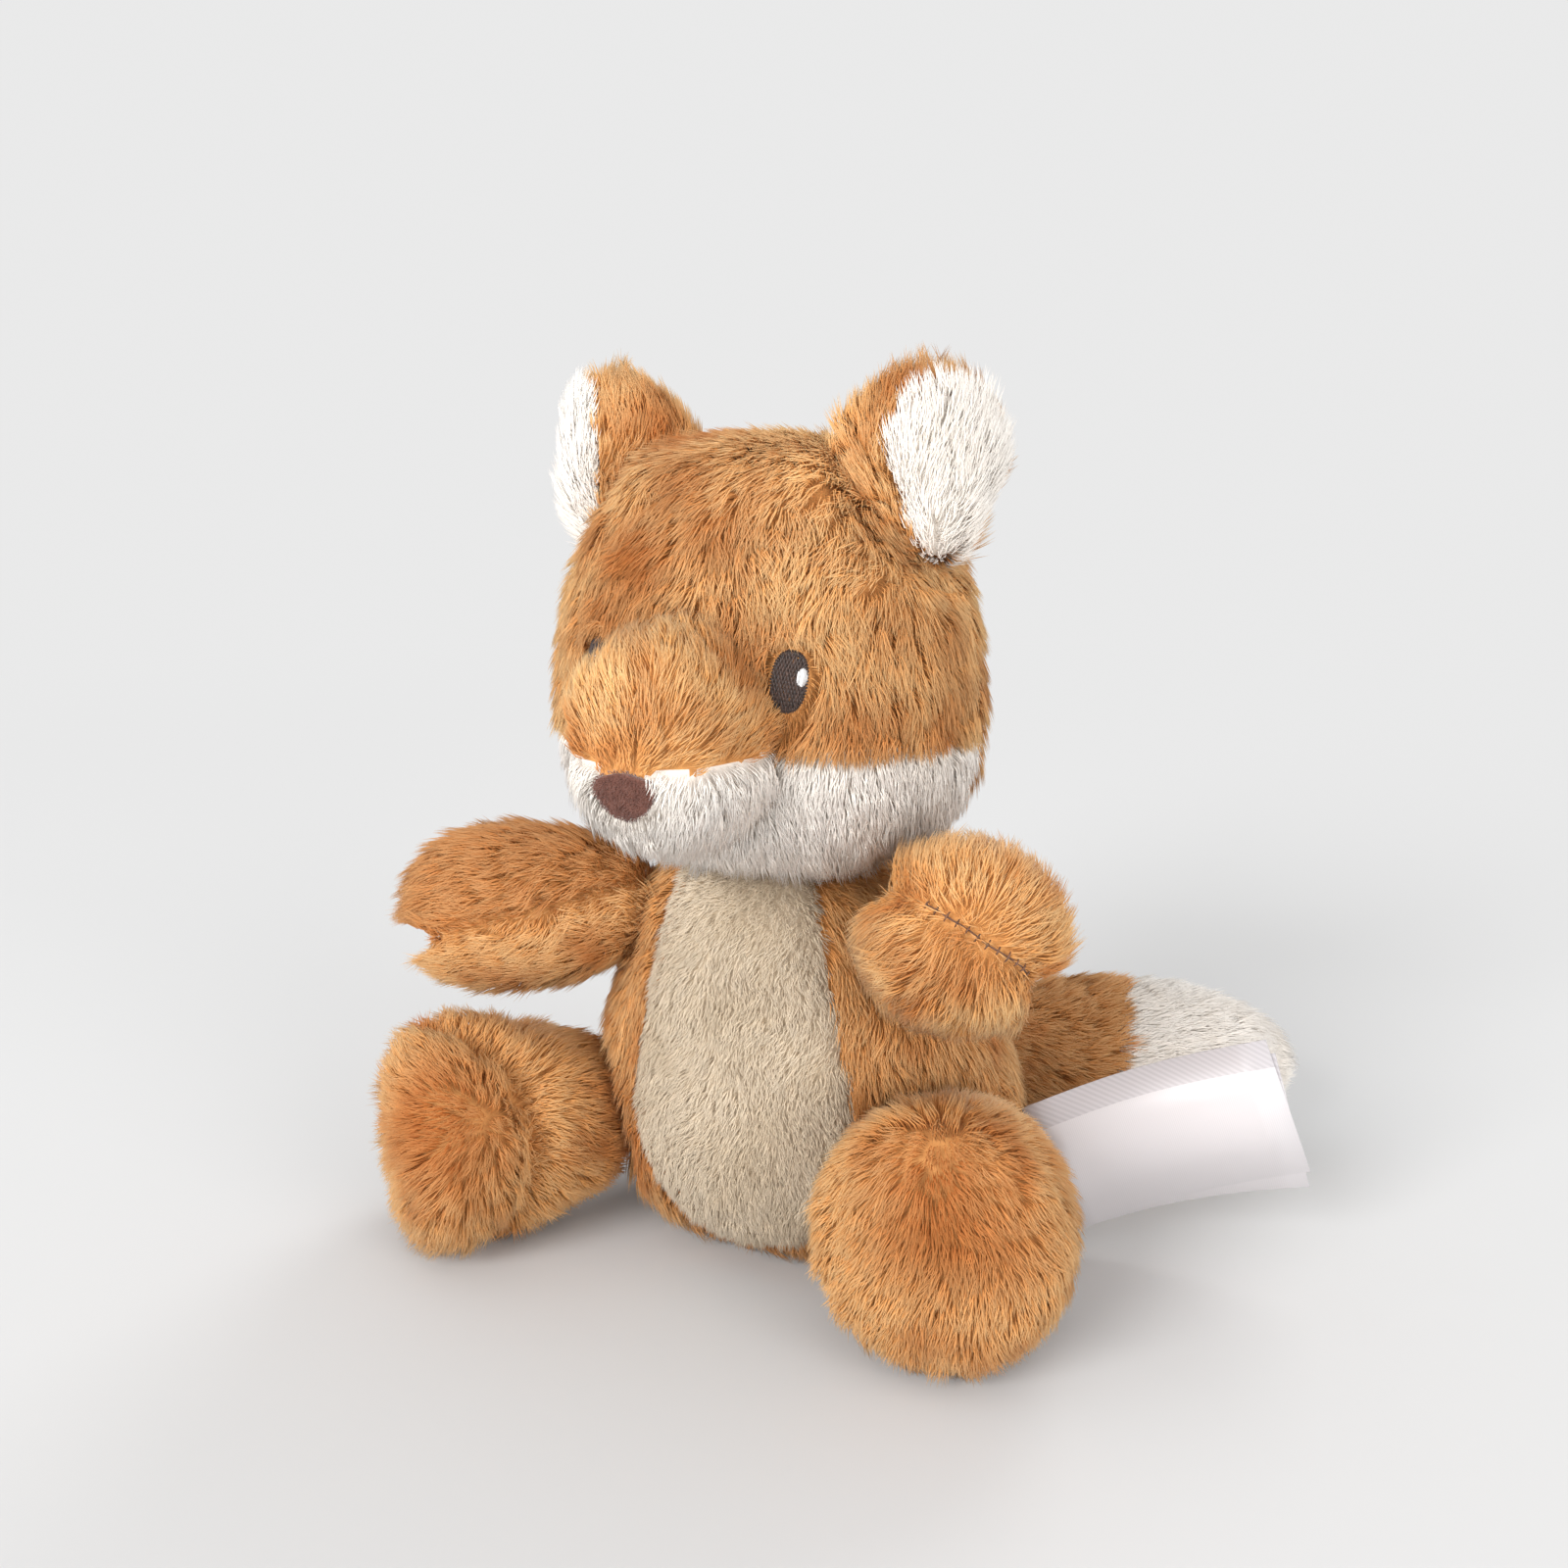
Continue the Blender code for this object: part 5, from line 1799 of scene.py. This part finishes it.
@dataclass
class Studio:
    """The camera at the photograph's viewpoint, the pale floor, its backdrop and soft light."""

    azimuth: float = math.radians(25)
    tilt: float = math.radians(13)
    angle: float = math.radians(54)
    far: float = 300 * MM
    aside: float = 5.5 * MM
    height: float = 162 * MM
    floor_radius: float = 6.0
    floor_colour: Colour = (0.66, 0.66, 0.66)
    backdrop: Colour = (0.82, 0.82, 0.82)
    fade_from: float = 0.22
    fade_to: float = 0.9
    daylight: float = 0.74
    lit_place: Vector = field(default_factory=lambda: Vector((0, 0, 0.08)))
    lamps: tuple = (("key", (-0.7, -2.9, 1.35), 1.7, 92.0),
                    ("fill", (2.5, -1.3, 0.8), 1.8, 34.0),
                    ("back", (0.2, 2.4, 1.7), 1.6, 20.0))

    def build(self) -> None:
        """Set up the whole studio."""
        self._camera()
        self._floor()
        self._world()
        for name, place, size, power in self.lamps:
            self._lamp(name, Vector(place), size, power)
        bpy.context.scene.view_settings.view_transform = "Standard"

    def _camera(self) -> None:
        """The camera at the photograph's viewpoint."""
        right = Vector((math.cos(self.azimuth), math.sin(self.azimuth), 0))
        toward = Vector((math.sin(self.azimuth), -math.cos(self.azimuth), 0))
        lens = bpy.data.cameras.new("camera")
        lens.sensor_width = 36
        lens.angle = self.angle
        lens.clip_start = 0.01
        lens.clip_end = 20
        thing = new_object("camera", lens)
        thing.location = toward * self.far - right * self.aside + UP * self.height
        thing.rotation_euler = (math.pi / 2 - self.tilt, 0, self.azimuth)
        bpy.context.scene.camera = thing

    def _floor(self) -> None:
        """A round pale floor whose far part takes the backdrop's colour."""
        shape = bmesh.new()
        bmesh.ops.create_circle(shape, cap_ends=True, segments=96, radius=self.floor_radius)
        floor = new_object("floor", as_mesh(shape, "floor"))
        shader = ShaderTree("floor")
        shader.set({"Base Color": self.floor_colour, "Roughness": 0.95, "Specular IOR Level": 0.2})
        place = shader.add("ShaderNodeTexCoord").outputs["Object"]
        far = shader.add("ShaderNodeVectorMath", {0: place}, operation="LENGTH").outputs["Value"]
        fade = shader.add("ShaderNodeMapRange", {"From Min": self.fade_from, "From Max": self.fade_to,
                                                 "Value": far}, interpolation_type="SMOOTHSTEP")
        glow = shader.add("ShaderNodeEmission", {"Color": self.backdrop}).outputs[0]
        shader.blend(shader.times(fade.outputs["Result"], shader.seen()), shader.shader.outputs[0], glow,
                     "Material Output")
        floor.data.materials.append(shader.material)

    def _world(self) -> None:
        """Even daylight, with the backdrop's colour where the camera looks past the floor."""
        world = bpy.data.worlds.new("studio")
        world.use_nodes = True
        bpy.context.scene.world = world
        graph = NodeGraph(world.node_tree)
        light = graph.nodes["Background"]
        graph.feed(light.inputs["Color"], (1.0, 1.0, 1.0))
        graph.feed(light.inputs["Strength"], self.daylight)
        backdrop = graph.add("ShaderNodeBackground", {"Color": self.backdrop}).outputs[0]
        graph.blend(graph.seen(), light.outputs[0], backdrop, "World Output")

    def _lamp(self, name: str, place: Vector, size: float, power: float) -> None:
        """One round soft lamp that looks at the fox.

        Args:
            name: Its name.
            place: Where it hangs.
            size: Its width in metres.
            power: Its power in watts.
        """
        light = bpy.data.lights.new(name, "AREA")
        light.shape = "DISK"
        light.size = size
        light.energy = power
        lamp = new_object(name, light)
        lamp.location = place
        lamp.rotation_euler = (self.lit_place - place).to_track_quat("-Z", "Y").to_euler()


def at(x: float, y: float, z: float) -> Vector:
    """A point given in millimetres."""
    return Vector((x, y, z)) * MM


def spots(*rows: tuple[float, float, float, float, float]) -> tuple[ShadedSpot, ...]:
    """Spots of painted shade given by their middle and radius in millimetres, and their depth."""
    return tuple(ShadedSpot(at(x, y, z), radius * MM, depth) for x, y, z, radius, depth in rows)


def head_parts() -> list[StuffedPart]:
    """The head with its ears and muzzle."""
    crown = at(2, 6, 158)
    # Painted shade where the face's pile is parted.
    face_shade_spots = spots(
        (-8.5, -34.9, 155.0, 9, 0.9), (-0.5, -39.5, 147.8, 8, 0.9), (7.2, -44.0, 126.3, 8, 1.0),
        (1.2, -45.0, 125.2, 8, 0.9), (25.8, -37.1, 114.9, 8, 0.9), (29.6, -33.2, 114.5, 8, 0.8),
        (29.6, -29.2, 132.4, 8, 0.6), (34.9, -19.1, 128.2, 8, 0.7), (-14.5, -38, 142, 10, 1.0),
        (-20, -36, 132, 9, 0.8), (-33, -22, 120, 9, 0.6))
    cheek_pole = middle("head_stuffing") + UP * 10 * MM
    chin_pole = middle("muzzle_stuffing") + UP * 8 * MM
    nose = replace(oval_of("nose", middle("muzzle_stuffing"), -0.6 * MM), clearing=0.3)
    parts = [
        StuffedPart(
            "head", "head",
            (Panel("face_panel", ORANGE, Flow(crown, 1.0, DOWN * 0.35), face_shade_spots, edge=0.5),
             Panel("cheek_panel", WHITE, Flow(cheek_pole, 0.5, DOWN * 0.6), length=0.85),
             Panel("head_back_panel", ORANGE, Flow(crown, 0.8, DOWN * 0.6), spread=1.12)),
            filling="head_stuffing", rounded=True, parting=0.7,
            fixtures=("eye_left", "eye_right", "eye_glint_left", "eye_glint_right"),
            ovals=tuple(EmbroideredEye(label).oval for label in SIDES), seed=3),
        StuffedPart(
            "muzzle", "head",
            (Panel("muzzle_top", ORANGE, Flow(at(-3, -64, 104), 0.6, UP * 0.25), length=0.88, edge=0.6),
             Panel("muzzle_underside", WHITE, Flow(chin_pole, 0.6, DOWN * 0.5), length=0.85)),
            filling="muzzle_stuffing", fixtures=("nose",), ovals=(nose,), parting=0.4, shaping=Blunt(),
            under="head", rooted=9 * MM, seed=5)]
    for label in SIDES:
        root = pivot("ear_fold_" + label) - UP * 12 * MM
        parts.append(StuffedPart(
            "ear_" + label, "ear_" + label,
            (Panel("ear_front_" + label, WHITE, Flow(root, 0.8, STILL), length=0.9),
             Panel("ear_back_" + label, ORANGE, Flow(root, 1.0, STILL))),
            shaping=Flare(label), seam_depth=0.2 * MM, parting=0.0, seed=7,
            seam=Seam(f"ear_{label}_seam", pitch=1.6 * MM, length=0.8 * MM, radius=0.1 * MM,
                      width=0.2 * MM, proud=0.6 * MM)))
    return parts


def body_part() -> StuffedPart:
    """The body with its belly."""
    core = middle("body_stuffing")
    # The sides carry some painted shade.
    sides = tuple(Panel("body_side_" + label, ORANGE, Flow(core, 0.2, DOWN), spread=1.14, warm=0.3)
                  for label in SIDES)
    return StuffedPart("body", "body", (*sides, Panel("belly_panel", CREAM, Flow(core, 0.1, DOWN * 0.5))),
                       filling="body_stuffing", rounded=True, parting=0.3, shaping=Shoulders(), seed=11)


def arm_part(label: str) -> StuffedPart:
    """One arm: the left one with its stitched seam in front, the right one with a crease.

    Args:
        label: Its side.

    Returns:
        The arm.
    """
    shoulder = pivot("arm_swing_" + label)
    # Each arm's pair of numbers after its flow is painted shade on its top and its underside.
    if label == "left":
        tip = at(52.8, -50.5, 83.1)
        rolled = (shoulder - tip).cross(at(14.4, 3.8, -9.8)).normalized()
        flow, warm = Flow(tip, 0.9, DOWN * 0.1), (0.15, 0.0)
        rolled = rolled if rolled.z > 0 else -rolled
        own = {"split": (tip, rolled), "parting": 1.6, "parting_reach": 14 * MM,
               "seam": Seam("arm_left_seam", pitch=1.9 * MM, length=1.9 * MM, proud=1.3 * MM, near=tip,
                            reach=13 * MM)}
    else:
        tip = at(-57.5, -50.7, 73.0)
        behind = shoulder - (tip - shoulder).normalized() * 30 * MM
        flow, warm = Flow(behind, 0.8, DOWN * 0.1), (0.65, 0.25)
        own = {"split": (at(-42, -44, 72), Vector((-0.34, 0.09, 0.93))), "parting": 0.8,
               "parting_reach": 5 * MM, "shaping": Shorten(shoulder, tip, 0.10)}
    return StuffedPart(
        "arm_" + label, "arm_" + label,
        (Panel("arm_top_" + label, ORANGE, flow, edge=0.4, warm=warm[0]),
         Panel("arm_underside_" + label, ORANGE, flow, edge=0.4, warm=warm[1])),
        filling="arm_stuffing_" + label, seam_depth=3.2 * MM, seam_width=2.6 * MM, seed=13, **own)


def leg_part(label: str) -> StuffedPart:
    """One leg: the left one seen from its sole, the right one with the seam round its foot.

    Args:
        label: Its side.

    Returns:
        The leg.
    """
    if label == "left":
        pole, comb = at(43.5, -41.5, 38.0), DOWN * 0.35
        # Painted shade in the sole's parted middle.
        dark = spots((47.2, -52.8, 35, 14, 1.0), (54, -52, 33, 11, 0.9), (45.2, -49, 41, 9, 1.0))
        tube_edge, sole_edge, sole_length = 0.8, 0.9, 0.8
        own = {"seam_depth": 0.6 * MM, "parting": 0.1, "parting_reach": 3 * MM}
    else:
        pole, comb = at(-49.0, -46.0, 29.5), STILL
        # Painted shade in the sole's parted middle.
        dark = spots((-51.0, -57, 34, 15, 1.0))
        tube_edge, sole_edge, sole_length = 0.55, 0.45, 0.9
        own = {"seam_depth": 5.2 * MM, "parting": 1.3, "parting_reach": 7 * MM,
               "split": (at(-43, -43.5, 32), Vector((0.08, 1, -0.12)))}
    # Both panels carry a little painted shade.
    return StuffedPart(
        "leg_" + label, "leg_" + label,
        (Panel("leg_tube_" + label, ORANGE, Flow(pole, 0.7, DOWN * 0.1), length=0.9, edge=tube_edge,
               warm=0.2),
         Panel("foot_sole_" + label, ORANGE, Flow(pole, 0.5, comb), dark, length=sole_length,
               edge=sole_edge, warm=0.2)),
        filling="leg_stuffing_" + label, seam_width=2.6 * MM, seed=17, **own)


def tail_part() -> StuffedPart:
    """The tail with its white tip."""
    root = pivot("tail_swing")
    behind = root - (middle("tail_stuffing") - root).normalized() * 20 * MM
    return StuffedPart(
        "tail", "tail",
        # The orange base carries painted shade.
        (Panel("tail_base", ORANGE, Flow(behind, 1.0, DOWN * 0.2), warm=0.45),
         Panel("tail_tip", WHITE, Flow(behind, 1.0, DOWN * 0.1))),
        filling="tail_stuffing", parting=0.2, seed=19,
        seam=Seam("tail_seam", pitch=2.2 * MM, length=1.0 * MM, proud=1.6 * MM))


def main() -> None:
    """Dress the frame, piece by piece."""
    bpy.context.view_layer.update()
    Studio().build()
    shop = Workshop()
    parts = [*head_parts(), body_part(), *map(arm_part, SIDES), *map(leg_part, SIDES), tail_part()]
    skins = {part.name: [tree_data(frame["nodes"][panel.node].data) for panel in part.panels]
             for part in parts}
    for part in parts:
        others = [mesh for name, meshes in skins.items()
                  if name not in (part.name, part.under) for mesh in meshes]
        part.build(shop, joined_tree(others))
    for label in SIDES:
        EmbroideredEye(label).build(shop)
    Nose().build(shop)
    Label().build(shop)
    shop.clear()


if __name__ == "__main__":
    main()
